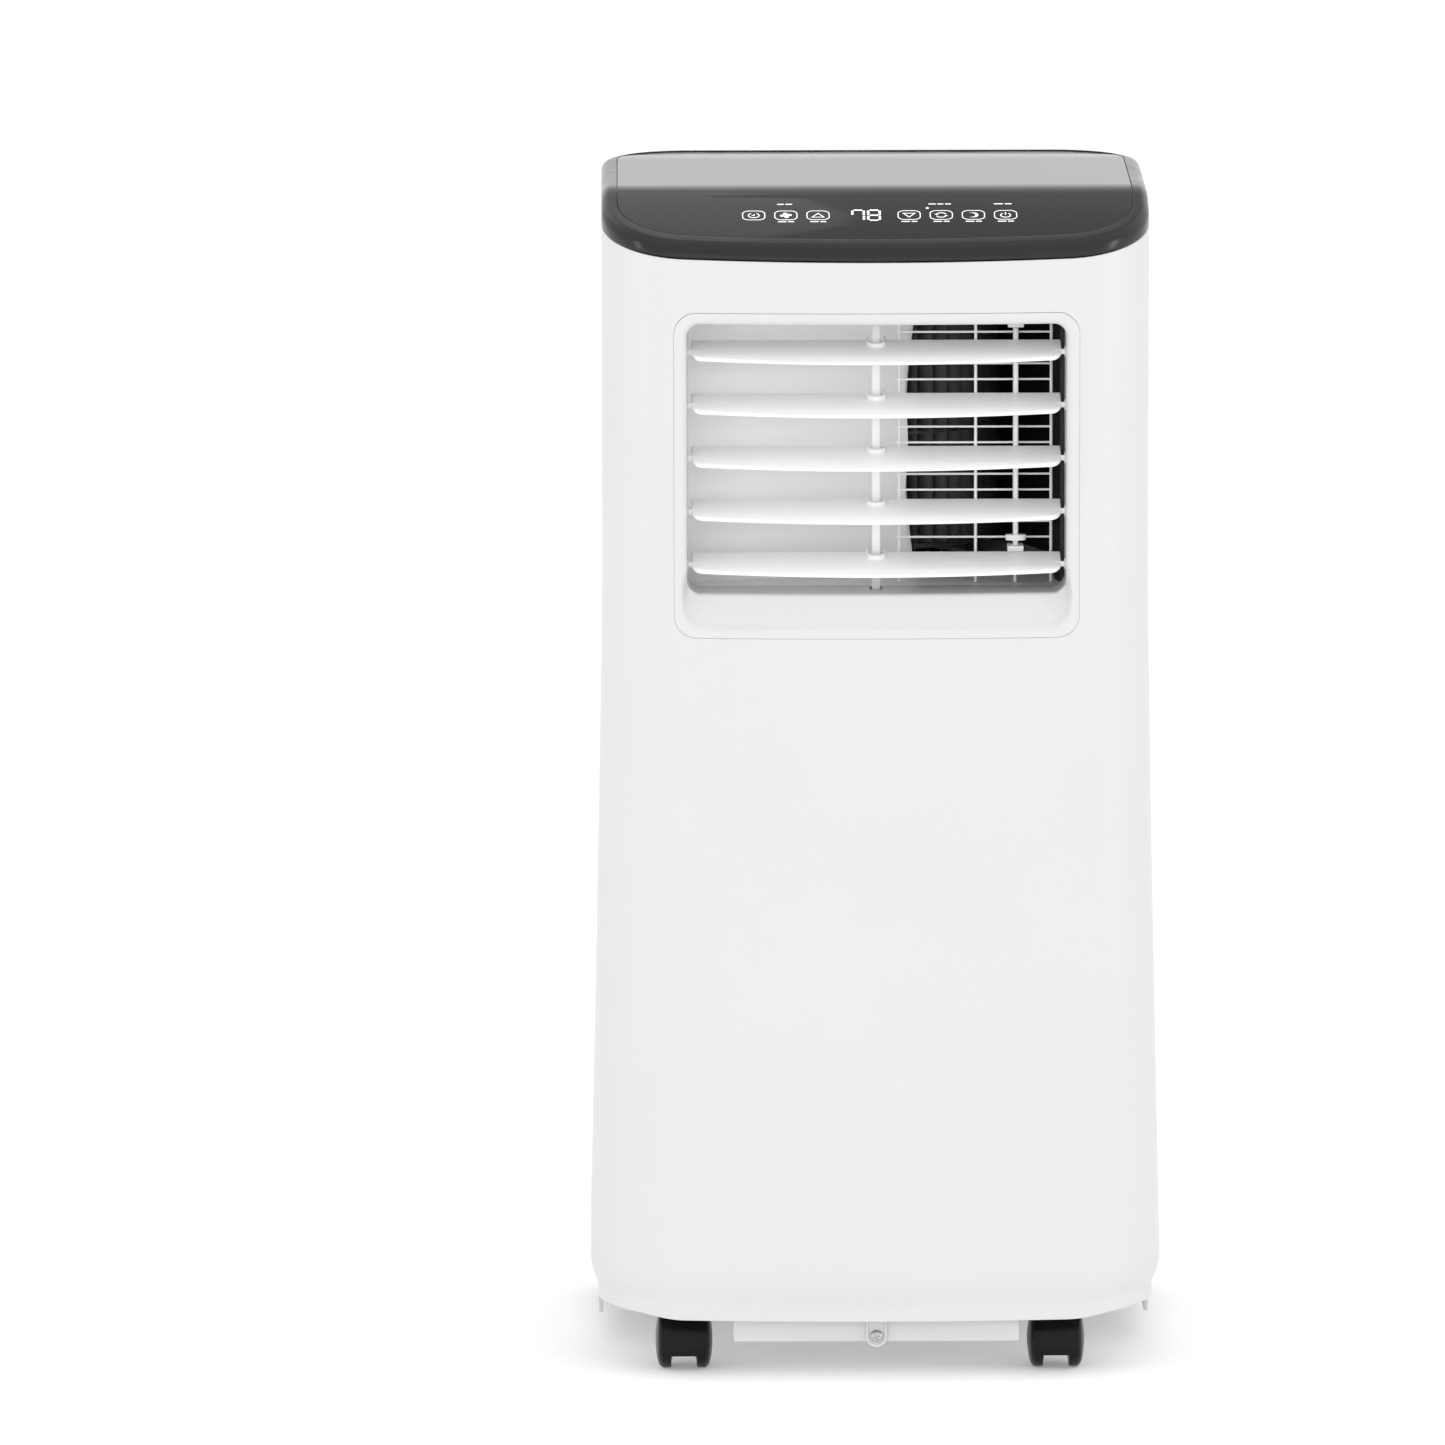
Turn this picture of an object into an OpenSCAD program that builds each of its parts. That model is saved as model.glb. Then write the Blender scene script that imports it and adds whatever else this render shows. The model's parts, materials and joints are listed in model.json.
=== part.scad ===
// Portable air conditioner: casing, louvered outlet, blower, refrigeration loop and casters.
// Millimetres, +Z up. The origin is on the floor under the middle of the cabinet; the front faces -Y.

/* [Cabinet] */
// Width at the widest point, low on the sides
cabinet_w = 312; // [308:1:316]
// Depth from the front bow to the flat back
cabinet_d = 280; // [278:1:284]
// Height of the flat top above the floor
cabinet_h = 646; // [644:1:650]
// How far each side flares out below the waist
side_flare = 7.5; // [5:0.5:9]
// Radius of the front face seen from above
bow_r = 1000; // [900:50:1400]
// Radius of the front corners
front_corner_r = 50; // [44:1:54]
// Radius of the rear corners below the shoulder
rear_corner_r = 36; // [30:1:38]
// Radius of the rear corners of the cap
cap_corner_r = 48; // [40:1:50]
// Wall thickness of the moulded shells
wall = 2.5; // [2:0.1:3]

/* [Top cap] */
// Angle at which the control panel slopes down to the front
panel_slope = 17.7; // [15:0.1:19]
// Distance of the crease from the front of the cabinet
crease_from_front = 75; // [70:1:80]

/* [Air outlet] */
// Clear width of the outlet
outlet_w = 205; // [203:1:207]
// Height of the top edge of the outlet
outlet_top = 579.5; // [578:0.5:582]
// Distance between louver axes
louver_pitch = 29; // [28:0.5:29.5]
// Front-to-back size of a louver at its middle
louver_chord = 34; // [30:1:34]
// Tilt of the louvers at rest, front edge down
louver_tilt = 12; // [0:1:20]

/* [Casters] */
// Radius of a caster wheel
wheel_r = 16; // [15:0.5:16]

/* [Hidden] */

white = "#f2f2f0";
light_grey = "#d4d5d6";
dark_grey = "#4a4a4c";
black = "#1a1a1b";
steel = "#a9adb0";
copper = "#b8734a";
round_fn = 48;
small_gap = 0.3;      // room between pieces that move past each other
run_fit = 0.05;       // radial clearance of a pin in its hole

// Cabinet levels
front_y = -cabinet_d / 2;
back_y = cabinet_d / 2;
waist_w = cabinet_w / 2 - side_flare;
waist_z = 440;        // the sides are upright above this level
widest_z = 61;
tuck_z = 41.5;        // the sides are upright again below this level
skirt_z = 16;         // lower edge of the rear shell
front_edge_z = 31.5;  // lower edge of the front shell
tuck = 4.2;           // how far the lower edge curls in
join_y = -30;         // seam between the front and rear shells
crease_y = front_y + crease_from_front;
cap_seam_z = cabinet_h - 12;
cap_back_y = 106;
shoulder_z = 520;     // the back leans in above this level
seam_slope = 14.9;

// ---- plan outline of the cabinet -------------------------------------------------------------
function tuck_in(z) = z > widest_z ? 0 : tuck * pow(min(1, (widest_z - z) / (widest_z - tuck_z)), 2);
function flare(z) = z > waist_z ? 0
    : z > widest_z ? side_flare * pow((waist_z - z) / (waist_z - widest_z), 1.25)
    : side_flare - tuck_in(z);
function half_w(z) = waist_w + flare(z);
function back_at(z) = z > shoulder_z
    ? back_y - (back_y - cap_back_y) * pow((z - shoulder_z) / (cap_seam_z - shoulder_z), 1.6)
    : back_y;
function rear_r(z) = z > shoulder_z ? rear_corner_r + (cap_corner_r - rear_corner_r)
    * (z - shoulder_z) / (cap_seam_z - shoulder_z) : rear_corner_r;
function seam_z(y) = y > crease_y ? cap_seam_z : cap_seam_z - (crease_y - y) * tan(seam_slope);
function top_z(y) = y > crease_y ? cabinet_h : cabinet_h - (crease_y - y) * tan(panel_slope);
function reversed(list) = [for (i = [len(list) - 1:-1:0]) list[i]];
function mirrored(list) = [for (p = reversed(list)) [-p[0], p[1]]];

bow_steps = 12;
corner_steps = 7;
function bow_half_angle(hw) = asin((hw - front_corner_r) / (bow_r - front_corner_r));
function corner_y(hw, fy) = fy + bow_r
    - sqrt(pow(bow_r - front_corner_r, 2) - pow(hw - front_corner_r, 2));
function bow(hw, fy, inset) = [for (i = [0:bow_steps])
    let (a = bow_half_angle(hw) * (2 * i / bow_steps - 1))
    [(bow_r - inset) * sin(a), fy + bow_r - (bow_r - inset) * cos(a)]];
function front_corner(hw, fy, inset) = [for (i = [1:corner_steps])
    let (start = bow_half_angle(hw), a = start + (90 - start) * i / corner_steps)
    [hw - front_corner_r + (front_corner_r - inset) * sin(a),
     corner_y(hw, fy) - (front_corner_r - inset) * cos(a)]];
function rear_corner(hw, by, inset, r) = [for (i = [0:corner_steps])
    let (a = 90 * i / corner_steps)
    [hw - r + (r - inset) * cos(a), by - r + (r - inset) * sin(a)]];

// The front half of the outline, from the left seam round the front to the right seam
function front_line(hw, fy, inset) = let (
    right = concat(front_corner(hw, fy, inset), [[hw - inset, crease_y], [hw - inset, join_y]]))
    concat(mirrored(right), bow(hw, fy, inset), right);
// The rear half, from the right seam round the back to the left seam
function rear_line(hw, by, inset, r) = let (
    right = concat([[hw - inset, join_y]], rear_corner(hw, by, inset, r)))
    concat(right, mirrored(right));
function full_line(hw, fy, by, inset, r = rear_corner_r) =
    let (right = concat(front_corner(hw, fy, inset), rear_corner(hw, by, inset, r)))
    concat(bow(hw, fy, inset), right, mirrored(right));

// A wall that follows a stack of open lines: rings run outer line, then inner line backwards
module lofted_wall(rings) {
    n = len(rings[0]);
    half = n / 2;
    levels = len(rings);
    sides = [for (k = [0:levels - 2]) for (j = [0:n - 1])
        [k * n + j, (k + 1) * n + j, (k + 1) * n + (j + 1) % n, k * n + (j + 1) % n]];
    floor_faces = [for (i = [0:half - 2]) [i, i + 1, n - 2 - i, n - 1 - i]];
    top = (levels - 1) * n;
    top_faces = [for (f = floor_faces) [for (v = reversed(f)) v + top]];
    polyhedron([for (r = rings) each r], concat(floor_faces, sides, top_faces), convexity = 6);
}
function at_level(line, z) = [for (p = line) [p[0], p[1], z]];
function at_seam(line) = [for (p = line) [p[0], p[1], seam_z(p[1])]];
function front_wall_line(z) = concat(front_line(half_w(z), front_y + tuck_in(z), 0),
    reversed(front_line(half_w(z), front_y + tuck_in(z), wall)));
function rear_wall_line(z) = let (by = back_at(z) - tuck_in(z), r = rear_r(z))
    concat(rear_line(half_w(z), by, 0, r), reversed(rear_line(half_w(z), by, wall, r)));

// Extrudes a (y, z) outline along X, centred
module side_prism(width) {
    rotate([90, 0, 90]) translate([0, 0, -width / 2]) linear_extrude(width) children();
}
// Extrudes an (x, z) outline from y_from towards +Y
module face_prism(y_from, depth) {
    translate([0, y_from + depth, 0]) rotate([90, 0, 0]) linear_extrude(depth) children();
}
module rounded_rect(x0, z0, x1, z1, r) {
    union() {
        translate([x0 + r, z0]) square([x1 - x0 - 2 * r, z1 - z0]);
        translate([x0, z0 + r]) square([x1 - x0, z1 - z0 - 2 * r]);
        for (x = [x0 + r, x1 - r], z = [z0 + r, z1 - r]) translate([x, z]) circle(r, $fn = round_fn);
    }
}
module y_cylinder(x, y, z, r, depth) {
    translate([x, y, z]) rotate([-90, 0, 0]) cylinder(h = depth, r = r, $fn = round_fn);
}
module x_cylinder(x, y, z, r, length) {
    translate([x, y, z]) rotate([0, 90, 0]) cylinder(h = length, r = r, $fn = round_fn);
}
module box(x0, y0, z0, x1, y1, z1) {
    translate([x0, y0, z0]) cube([x1 - x0, y1 - y0, z1 - z0]);
}

// ---- air outlet ------------------------------------------------------------------------------
frame_w = outlet_w + 14;         // outside width of the outlet frame
frame_top = outlet_top + 6.5;
frame_bottom = 409;
frame_r = 12;
tunnel_back = front_y + 42;      // rear end of the outlet frame
sill_z = 432;                    // floor of the outlet
scoop_z = 412;                   // the face slopes in from here up to the sill
scoop_depth = 9;
louver_y = front_y + 19;         // louver axes
louver_top_z = outlet_top - 16.5;
louver_len = outlet_w - 5;
louver_t = 2.4;
pin_r = 1.5;
link_arm = 14;                   // from a louver axis to its link pin
link_pin_r = 1.1;
link_w = 4.6;
link_d = 4.6;
notch_w = 7.6;                   // slot for the link in a louver's back edge
bracket_h = 3.4;                 // height of the bracket round the slot
vane_x = 76;
vane_y = tunnel_back + 2;
vane_bottom = 454;
vane_top = 573;
guard_y = tunnel_back + 10;
function louver_z(i) = louver_top_z - (i - 1) * louver_pitch;

// Circle along Z that matches the bow of the front face, thickness t, set back by inset
module bow_band(inset, t, z0, z1) {
    translate([0, front_y + bow_r, z0]) difference() {
        cylinder(h = z1 - z0, r = bow_r - inset, $fn = 720);
        translate([0, 0, -1]) cylinder(h = z1 - z0 + 2, r = bow_r - inset - t, $fn = 720);
    }
}
module front_shell() {
    levels = [front_edge_z, tuck_z, 46, 51, 56, widest_z, 90, 160, 240, 330, waist_z, 590];
    color(white) difference() {
        lofted_wall(concat([for (z = levels) at_level(front_wall_line(z), z)],
            [at_seam(front_wall_line(cap_seam_z))]));
        face_prism(front_y - 1, 24) rounded_rect(-frame_w / 2 - small_gap, frame_bottom - small_gap,
            frame_w / 2 + small_gap, frame_top + small_gap, frame_r + small_gap);
    }
}
module outlet_frame() {
    cheek = outlet_w / 2;
    color(white) difference() {
        intersection() {
            union() {
                face_prism(front_y - 1, 24)
                    rounded_rect(-frame_w / 2, frame_bottom, frame_w / 2, frame_top, frame_r);
                box(-cheek - wall, front_y + 1, sill_z - wall, cheek + wall, tunnel_back, outlet_top + wall);
            }
            translate([0, front_y + bow_r, 0]) cylinder(h = cabinet_h, r = bow_r, $fn = 720);
        }
        // hollow behind the face, outside the tunnel walls
        difference() {
            bow_band(3, 60, frame_bottom - 1, frame_top + 1);
            box(-cheek - wall, front_y, sill_z - 12, cheek + wall, tunnel_back + 9, outlet_top + wall);
        }
        face_prism(front_y - 2, cabinet_d) rounded_rect(-cheek, sill_z, cheek, outlet_top, 7);
        intersection() {
            side_prism(frame_w) polygon([[front_y - 2, scoop_z], [front_y + 5, scoop_z],
                [front_y + 5 + scoop_depth, sill_z + 0.01], [front_y - 2, sill_z + 0.01]]);
            face_prism(front_y - 2, 30) rounded_rect(-frame_w / 2 + 3, scoop_z, frame_w / 2 - 3, sill_z + 20, 10);
        }
        for (i = [1:5]) x_cylinder(-cheek - 5, louver_y, louver_z(i), pin_r + run_fit, outlet_w + 10);
        for (z = [sill_z - 9, outlet_top - 1])
            box(-link_w / 2 - 1.2, louver_y + 7, z, link_w / 2 + 1.2, tunnel_back - 3, z + 10);
    }
}
// One louver about its own axis: straight back edge, bowed front edge, round front corners
louver_bow = 7;
louver_nose_r = 9;
function louver_front(x) = -louver_chord / 2 + louver_bow * pow(x / (louver_len / 2), 2);
module louver_plan() {
    half = louver_len / 2;
    nose_x = half - louver_nose_r;
    edge = [for (i = [-8:8]) let (x = nose_x * i / 8) [x, louver_front(x)]];
    nose_y = louver_front(nose_x) + louver_nose_r;
    nose = [for (a = [15:15:90]) [nose_x + louver_nose_r * sin(a), nose_y - louver_nose_r * cos(a)]];
    polygon(concat(edge, nose, [[half, louver_chord / 2], [-half, louver_chord / 2]], mirrored(nose)));
}
module louver(i) {
    half = louver_len / 2;
    color(white) translate([0, louver_y, louver_z(i)]) rotate([louver_tilt, 0, 0]) {
        difference() {
            union() {
                translate([0, 0, -louver_t / 2]) linear_extrude(louver_t) louver_plan();
                for (side = [-1, 1]) x_cylinder(side * half - (side > 0 ? 4 : 4.3), 0, 0, pin_r, 8.3);
                box(-notch_w / 2 - 1.5, link_arm - 9, -2, notch_w / 2 + 1.5, louver_chord / 2, bracket_h);
            }
            box(-notch_w / 2, link_arm - 4.5, -5, notch_w / 2, louver_chord / 2 + 1, 5);
        }
        x_cylinder(-notch_w / 2 - 1, link_arm, 0, link_pin_r, notch_w + 2);
    }
}
module louver_link() {
    y = louver_y + link_arm * cos(louver_tilt);
    lift = link_arm * sin(louver_tilt);
    color(white) difference() {
        box(-link_w / 2, y - link_d / 2, louver_z(5) - 16, link_w / 2, y + link_d / 2, louver_z(1) + lift + 10.5);
        for (i = [1:5]) x_cylinder(-link_w, y, louver_z(i) + lift, link_pin_r + small_gap, 2 * link_w);
    }
}
module guide_vane() {
    color(light_grey) union() {
        box(vane_x - 1.2, vane_y - 4.4, vane_bottom, vane_x + 1.2, vane_y + 4.4, vane_top);
        box(vane_x - 5.5, vane_y - 6.6, vane_bottom + 3, vane_x + 5.5, vane_y - 1, vane_bottom + 6);
        translate([vane_x, vane_y, vane_bottom - 4]) cylinder(h = vane_top - vane_bottom + 8, r = 1.5, $fn = round_fn);
    }
}
guard_rows = 16;
guard_top = outlet_top - 10;
guard_pitch = 8.65;
guard_cols = [13, 54.5, 95.5];
module finger_guard() {
    bottom = sill_z + 0.3;
    color(white) difference() {
        union() {
            for (x = guard_cols) box(x - 1.1, guard_y - 1.1, bottom, x + 1.1, guard_y + 1.1, outlet_top + 2);
            for (k = [0:guard_rows - 1]) let (z = guard_top - k * guard_pitch)
                box(guard_cols[0] - 3, guard_y - 0.7, z - 0.7, guard_cols[2], guard_y + 0.7, z + 0.7);
            for (z = [vane_bottom - 3.6, vane_top + small_gap])
                box(vane_x - 6, vane_y - 4, z, vane_x + 6, guard_y, z + 3.3);
            box(vane_x - 1.1, guard_y - 1.1, bottom, vane_x + 1.1, guard_y + 1.1, outlet_top + 2);
        }
        translate([vane_x, vane_y, vane_bottom - 10])
            cylinder(h = vane_top - vane_bottom + 20, r = 1.5 + run_fit, $fn = round_fn);
    }
}

// ---- blower ----------------------------------------------------------------------------------
blower_y = 8;
blower_r = 70;
blower_bottom = 446;
blower_top = 574;
scroll_top = 586;
scroll_wall = 2.2;
scroll_bottom = sill_z - scroll_wall;
scroll_start = -78;              // angle of the cut-off edge
scroll_r0 = 77;
throat_right = 100;
function scroll_r(a) = scroll_r0 + (throat_right - scroll_r0) * (scroll_start - a) / 282;
function scroll_point(a) = [scroll_r(a) * cos(a), blower_y + scroll_r(a) * sin(a)];
// Inside of the scroll and its flaring throat, seen from above
module scroll_air() {
    union() {
        polygon(concat([for (a = [scroll_start:-9:-357]) scroll_point(a)], [[throat_right, blower_y]]));
        polygon(concat([[-outlet_w / 2, tunnel_back + 14], [-outlet_w / 2, tunnel_back - 1],
            [outlet_w / 2, tunnel_back - 1], [outlet_w / 2, tunnel_back + 14],
            [throat_right, tunnel_back + 22], [throat_right, blower_y], [30, blower_y]],
            [for (t = [0:0.125:1]) [lerp(16, -outlet_w / 2, t), lerp(-67.5, tunnel_back + 14, pow(t, 1.6))]]));
    }
}
function lerp(a, b, t) = a + (b - a) * t;
module duct_housing() {
    color(light_grey) difference() {
        translate([0, 0, scroll_bottom]) linear_extrude(scroll_top - scroll_bottom) intersection() {
            offset(r = scroll_wall, $fn = 24) scroll_air();
            translate([-150, tunnel_back]) square([300, 250]);
        }
        translate([0, 0, scroll_bottom + scroll_wall])
            linear_extrude(scroll_top - scroll_bottom - 2 * scroll_wall) scroll_air();
        translate([0, blower_y, scroll_bottom - 1]) cylinder(h = 5, r = 58, $fn = 96);
        translate([0, blower_y, scroll_top - 4]) cylinder(h = 5, r = 40, $fn = 96);
    }
}
// A drum of forward-curved blades between two rings, with a hub on a cupped back plate
module squirrel_cage(r, h, blades, bore) {
    blade_depth = r * 0.17;
    difference() {
        union() {
            cylinder(h = 3, r = r, $fn = 96);
            translate([0, 0, h - 3]) cylinder(h = 3, r = r, $fn = 96);
            for (i = [0:blades - 1]) rotate(360 * i / blades) translate([r - blade_depth / 2 - 1, 0, h / 2])
                rotate(-28) cube([blade_depth, 1.4, h - 2], center = true);
        }
        translate([0, 0, -1]) cylinder(h = 5, r = r - blade_depth - 1, $fn = 96);
        translate([0, 0, h - 4]) cylinder(h = 5, r = r - blade_depth - 1, $fn = 96);
    }
    cup_r = r - blade_depth - 1;
    rotate_extrude($fn = 96) polygon([[bore, h * 0.40], [cup_r * 0.78, h * 0.40], [cup_r * 0.80, h - 3],
        [r - 2, h - 3], [r - 2, h], [cup_r * 0.76, h], [cup_r * 0.74, h * 0.40 + 3], [bore + 6, h * 0.40 + 3],
        [bore + 6, h * 0.40 + 16], [bore, h * 0.40 + 16]]);
}
module blower_wheel() {
    color(black) translate([0, blower_y, blower_bottom])
        squirrel_cage(blower_r, blower_top - blower_bottom, 40, 4 + run_fit);
}
module fan_motor(body_r, body_h, shaft_l, flange_z) {
    union() {
        cylinder(h = body_h, r = body_r, $fn = round_fn);
        translate([0, 0, -shaft_l]) cylinder(h = shaft_l + 1, r = 4, $fn = round_fn);
        translate([0, 0, flange_z]) linear_extrude(3) difference() {
            circle(body_r + 8, $fn = round_fn);
            for (a = [45:90:315]) rotate(a) translate([body_r + 4, 0]) circle(2.2, $fn = 24);
        }
        translate([0, 0, body_h - 1]) cylinder(h = 8, r = body_r * 0.55, $fn = round_fn);
    }
}
module blower_motor() {
    color(steel) translate([0, blower_y, scroll_top - 43]) fan_motor(34, 47, 45, 43);
}

// ---- cold side -------------------------------------------------------------------------------
tray_z = 366;
module drip_tray() {
    color(light_grey) difference() {
        translate([0, 0, tray_z]) linear_extrude(18) polygon(full_line(waist_w, front_y, back_y, 4.2));
        translate([0, 0, tray_z + 3]) linear_extrude(18) polygon(full_line(waist_w, front_y, back_y, 6.7));
        for (p = [[-132, 60], [132, -60]]) translate([p[0], p[1], tray_z - 1]) cylinder(h = 6, r = 7, $fn = round_fn);
        y_cylinder(-95, back_y - 12, tray_z + 9, 5, 12);
        for (p = [[-118, 96], [-137, 84]]) translate([p[0], p[1], tray_z - 1]) cylinder(h = 6, r = 4.6, $fn = round_fn);
    }
}
coil_rows = 2;
tube_pitch = 24;
tube_r = 3.5;
module coil_fins(w, y0, z0, z1, count) {
    depth = 22;
    tubes = floor((z1 - z0) / tube_pitch);
    for (i = [0:count - 1]) translate([-w / 2 + i * (w - 1) / (count - 1), 0, 0]) rotate([90, 0, 90])
        linear_extrude(1) difference() {
            translate([y0, z0]) square([depth, z1 - z0]);
            for (row = [0:coil_rows - 1], k = [0:tubes - 1])
                translate([y0 + 6 + row * 10, z0 + tube_pitch * (k + 0.5)]) circle(tube_r, $fn = round_fn);
        }
}
module coil_tubes(w, y0, z0, z1) {
    tubes = floor((z1 - z0) / tube_pitch);
    low = z0 + tube_pitch / 2;
    pipe([[-w / 2 - 1, y0 + 6, low], [-w / 2 - 9, y0 + 6, low], [-w / 2 - 9, y0 + 16, low],
        [-w / 2 - 1, y0 + 16, low]], tube_r);
    for (row = [0:coil_rows - 1]) {
        y = y0 + 6 + row * 10;
        for (k = [0:tubes - 1]) x_cylinder(-w / 2 - 2, y, z0 + tube_pitch * (k + 0.5), tube_r, w + 4);
        for (k = [0:tubes - 2]) {
            side = k % 2 == 0 ? 1 : -1;
            translate([side * (w / 2 + 2), y, z0 + tube_pitch * (k + 1)]) rotate([90, 0, 0])
                rotate(side > 0 ? -90 : 90) rotate_extrude(angle = 180, $fn = round_fn)
                    translate([tube_pitch / 2, 0]) circle(tube_r, $fn = round_fn);
        }
    }
}
evaporator_box = [214, 107, 370, 530];   // width, front y, bottom z, top z
condenser_box = [214, 107, 44, 204];
module evaporator_fins() {
    color("#c9cdd0") coil_fins(evaporator_box[0], evaporator_box[1], evaporator_box[2], evaporator_box[3], 30);
}
module evaporator_tubes() {
    color(copper) coil_tubes(evaporator_box[0], evaporator_box[1], evaporator_box[2], evaporator_box[3]);
}
module condenser_fins() {
    color("#c9cdd0") coil_fins(condenser_box[0], condenser_box[1], condenser_box[2], condenser_box[3], 30);
}
module condenser_tubes() {
    color(copper) coil_tubes(condenser_box[0], condenser_box[1], condenser_box[2], condenser_box[3]);
}

// ---- hot side --------------------------------------------------------------------------------
hot_x = 38;
hot_z = 128;
hot_r = 62;
hot_front = 34;                  // front plate of the condenser scroll
hot_depth = 62;
collar_x = 38;
collar_z = 282;
collar_r = 64;                   // clear radius of the hose outlet
hot_top = hot_z + 74;            // where the scroll opens into the duct
duct_y = 104;                    // back face of the duct
function hot_scroll_r(a) = 68 + 16 * a / 270;
// Inside of the hot scroll in (x, z), discharging upwards on the right
module hot_air() {
    translate([hot_x, hot_z]) union() {
        polygon([for (a = [0:10:270]) hot_scroll_r(a) * [-sin(a), cos(a)]]);
        polygon([[0, 0], [84, 0], [84, hot_top - hot_z + 1], [10, hot_top - hot_z + 1], [10, 69], [0, 68]]);
    }
}
module condenser_scroll() {
    color(black) difference() {
        union() {
            face_prism(hot_front, hot_depth) intersection() {
                offset(r = 2, $fn = 24) hot_air();
                translate([-150, base_floor]) square([300, hot_top - base_floor]);
            }
            box(hot_x - 22, hot_front + 8, base_floor, hot_x + 22, hot_front + hot_depth - 8, base_floor + 8);
        }
        face_prism(hot_front + 2, hot_depth - 4) hot_air();
        y_cylinder(hot_x, hot_front + hot_depth - 4, hot_z, 52, 6);
        y_cylinder(hot_x, hot_front - 1, hot_z, 36, 5);
    }
}
module condenser_wheel() {
    color(black) translate([hot_x, hot_front + 5, hot_z]) rotate([-90, 0, 0])
        rotate([180, 0, 0]) translate([0, 0, -50]) squirrel_cage(hot_r, 50, 32, 4 + run_fit);
}
module condenser_motor() {
    color(steel) translate([hot_x, hot_front + 17, hot_z]) rotate([90, 0, 0]) fan_motor(30, 52, 18, 17);
}
module exhaust_duct() {
    left = hot_x - 72;
    right = hot_x + 86;
    top = tray_z - 4;
    color(black) difference() {
        union() {
            box(left, hot_front + 16, hot_top, right, duct_y, top);
            box(hot_x + 8, hot_front, hot_top, right, duct_y, hot_top + 20);
        }
        box(left + 2, hot_front + 18, hot_top + 2, right - 2, duct_y - 2, top - 2);
        box(hot_x + 10, hot_front + 2, hot_top - 1, right - 2, hot_front + hot_depth - 2, hot_top + 18);
        y_cylinder(collar_x, duct_y - 3, collar_z, collar_r, 5);
    }
}
module exhaust_collar() {
    color(light_grey) translate([collar_x, duct_y, collar_z]) rotate([-90, 0, 0]) difference() {
        union() {
            cylinder(h = back_y - 0.5 - duct_y, r = collar_r + 3, $fn = 96);
            cylinder(h = 3, r = collar_r + 7, $fn = 96);
        }
        translate([0, 0, -1]) cylinder(h = 60, r = collar_r, $fn = 96);
    }
}
compressor_x = -84;
compressor_y = -20;
base_floor = 43;
foot_h = 9;
can_r = 50;
can_h = 178;                     // from the foot plate to the crown
compressor_top = base_floor + foot_h + can_h + 14;
module compressor() {
    dome = 28;
    color(black) translate([compressor_x, compressor_y, base_floor + foot_h]) union() {
        cylinder(h = 4, r = can_r + 8, $fn = 6);
        translate([0, 0, 3]) cylinder(h = can_h - dome - 3, r = can_r, $fn = 96);
        translate([0, 0, can_h - dome]) rotate_extrude($fn = 96)
            polygon([for (a = [0:15:90]) [can_r * cos(a), dome * sin(a)], [0, 0]]);
        translate([0, 0, can_h - 3]) cylinder(h = 17, r = 12, $fn = round_fn);
    }
}
module compressor_feet() {
    color(black) for (a = [0:120:240]) translate([compressor_x, compressor_y, base_floor]) rotate(a)
        translate([can_r - 4, 0, 0]) difference() {
            cylinder(h = foot_h, r = 9, $fn = round_fn);
            translate([0, 0, -1]) cylinder(h = foot_h + 2, r = 3, $fn = round_fn);
        }
}
acc_x = -14;
acc_y = -84;
acc_bottom = 67;
acc_top = 203;
module accumulator() {
    color(black) translate([acc_x, acc_y, 80]) union() {
        cylinder(h = 110, r = 15, $fn = round_fn);
        translate([0, 0, 109]) cylinder(h = 14, r1 = 15, r2 = 6, $fn = round_fn);
        translate([0, 0, -13]) cylinder(h = 14, r1 = 5, r2 = 15, $fn = round_fn);
    }
}
// A pipe through the given points, with a slightly larger brazed joint at each bend
module pipe(points, r) {
    for (i = [0:len(points) - 2]) {
        v = points[i + 1] - points[i];
        length = norm(v);
        translate(points[i]) rotate([0, acos(v[2] / length), atan2(v[1], v[0])])
            cylinder(h = length, r = r, $fn = 24);
    }
    for (i = [1:len(points) - 2]) translate(points[i]) sphere(r + 0.5, $fn = 24);
}
coil_end_x = -evaporator_box[0] / 2 - 2;
cold_top_z = evaporator_box[2] + tube_pitch * 5.5;
hot_row_z = condenser_box[2] + tube_pitch * 5.5;
module refrigerant_pipes() {
    riser_x = -118;
    color(copper) union() {
        pipe([[compressor_x, compressor_y, compressor_top], [compressor_x, compressor_y, 262],
            [-132, -20, 262], [-132, 113, 262], [-132, 113, hot_row_z], [coil_end_x, 113, hot_row_z]], 3);
        pipe([[coil_end_x, 113, cold_top_z], [-132, 113, cold_top_z], [-132, 96, 440], [riser_x, 96, 392],
            [riser_x, 96, 290], [acc_x, acc_y, 290], [acc_x, acc_y, acc_top]], 4);
        pipe([[acc_x, acc_y, acc_bottom], [acc_x, acc_y, 58], [-34, -50, 58]], 4);
    }
}
module capillary_tube() {
    coil_r = 22;
    color(copper) union() {
        for (k = [0:2]) translate([-60, 60, 300 + 2.5 * k]) rotate_extrude($fn = round_fn)
            translate([coil_r, 0]) circle(1.3, $fn = 16);
        pipe([[-60 - coil_r, 60, 300], [-137, 84, 330], [-137, 84, 400], [-139, 112, 440],
            [-136, 123, cold_top_z], [coil_end_x, 123, cold_top_z]], 1.3);
        pipe([[-60 - coil_r, 60, 305], [-124, 70, 290], [-124, 123, 250], [-124, 123, hot_row_z],
            [coil_end_x, 123, hot_row_z]], 1.3);
    }
}
slinger_x = -62;
slinger_z = 84;
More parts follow.
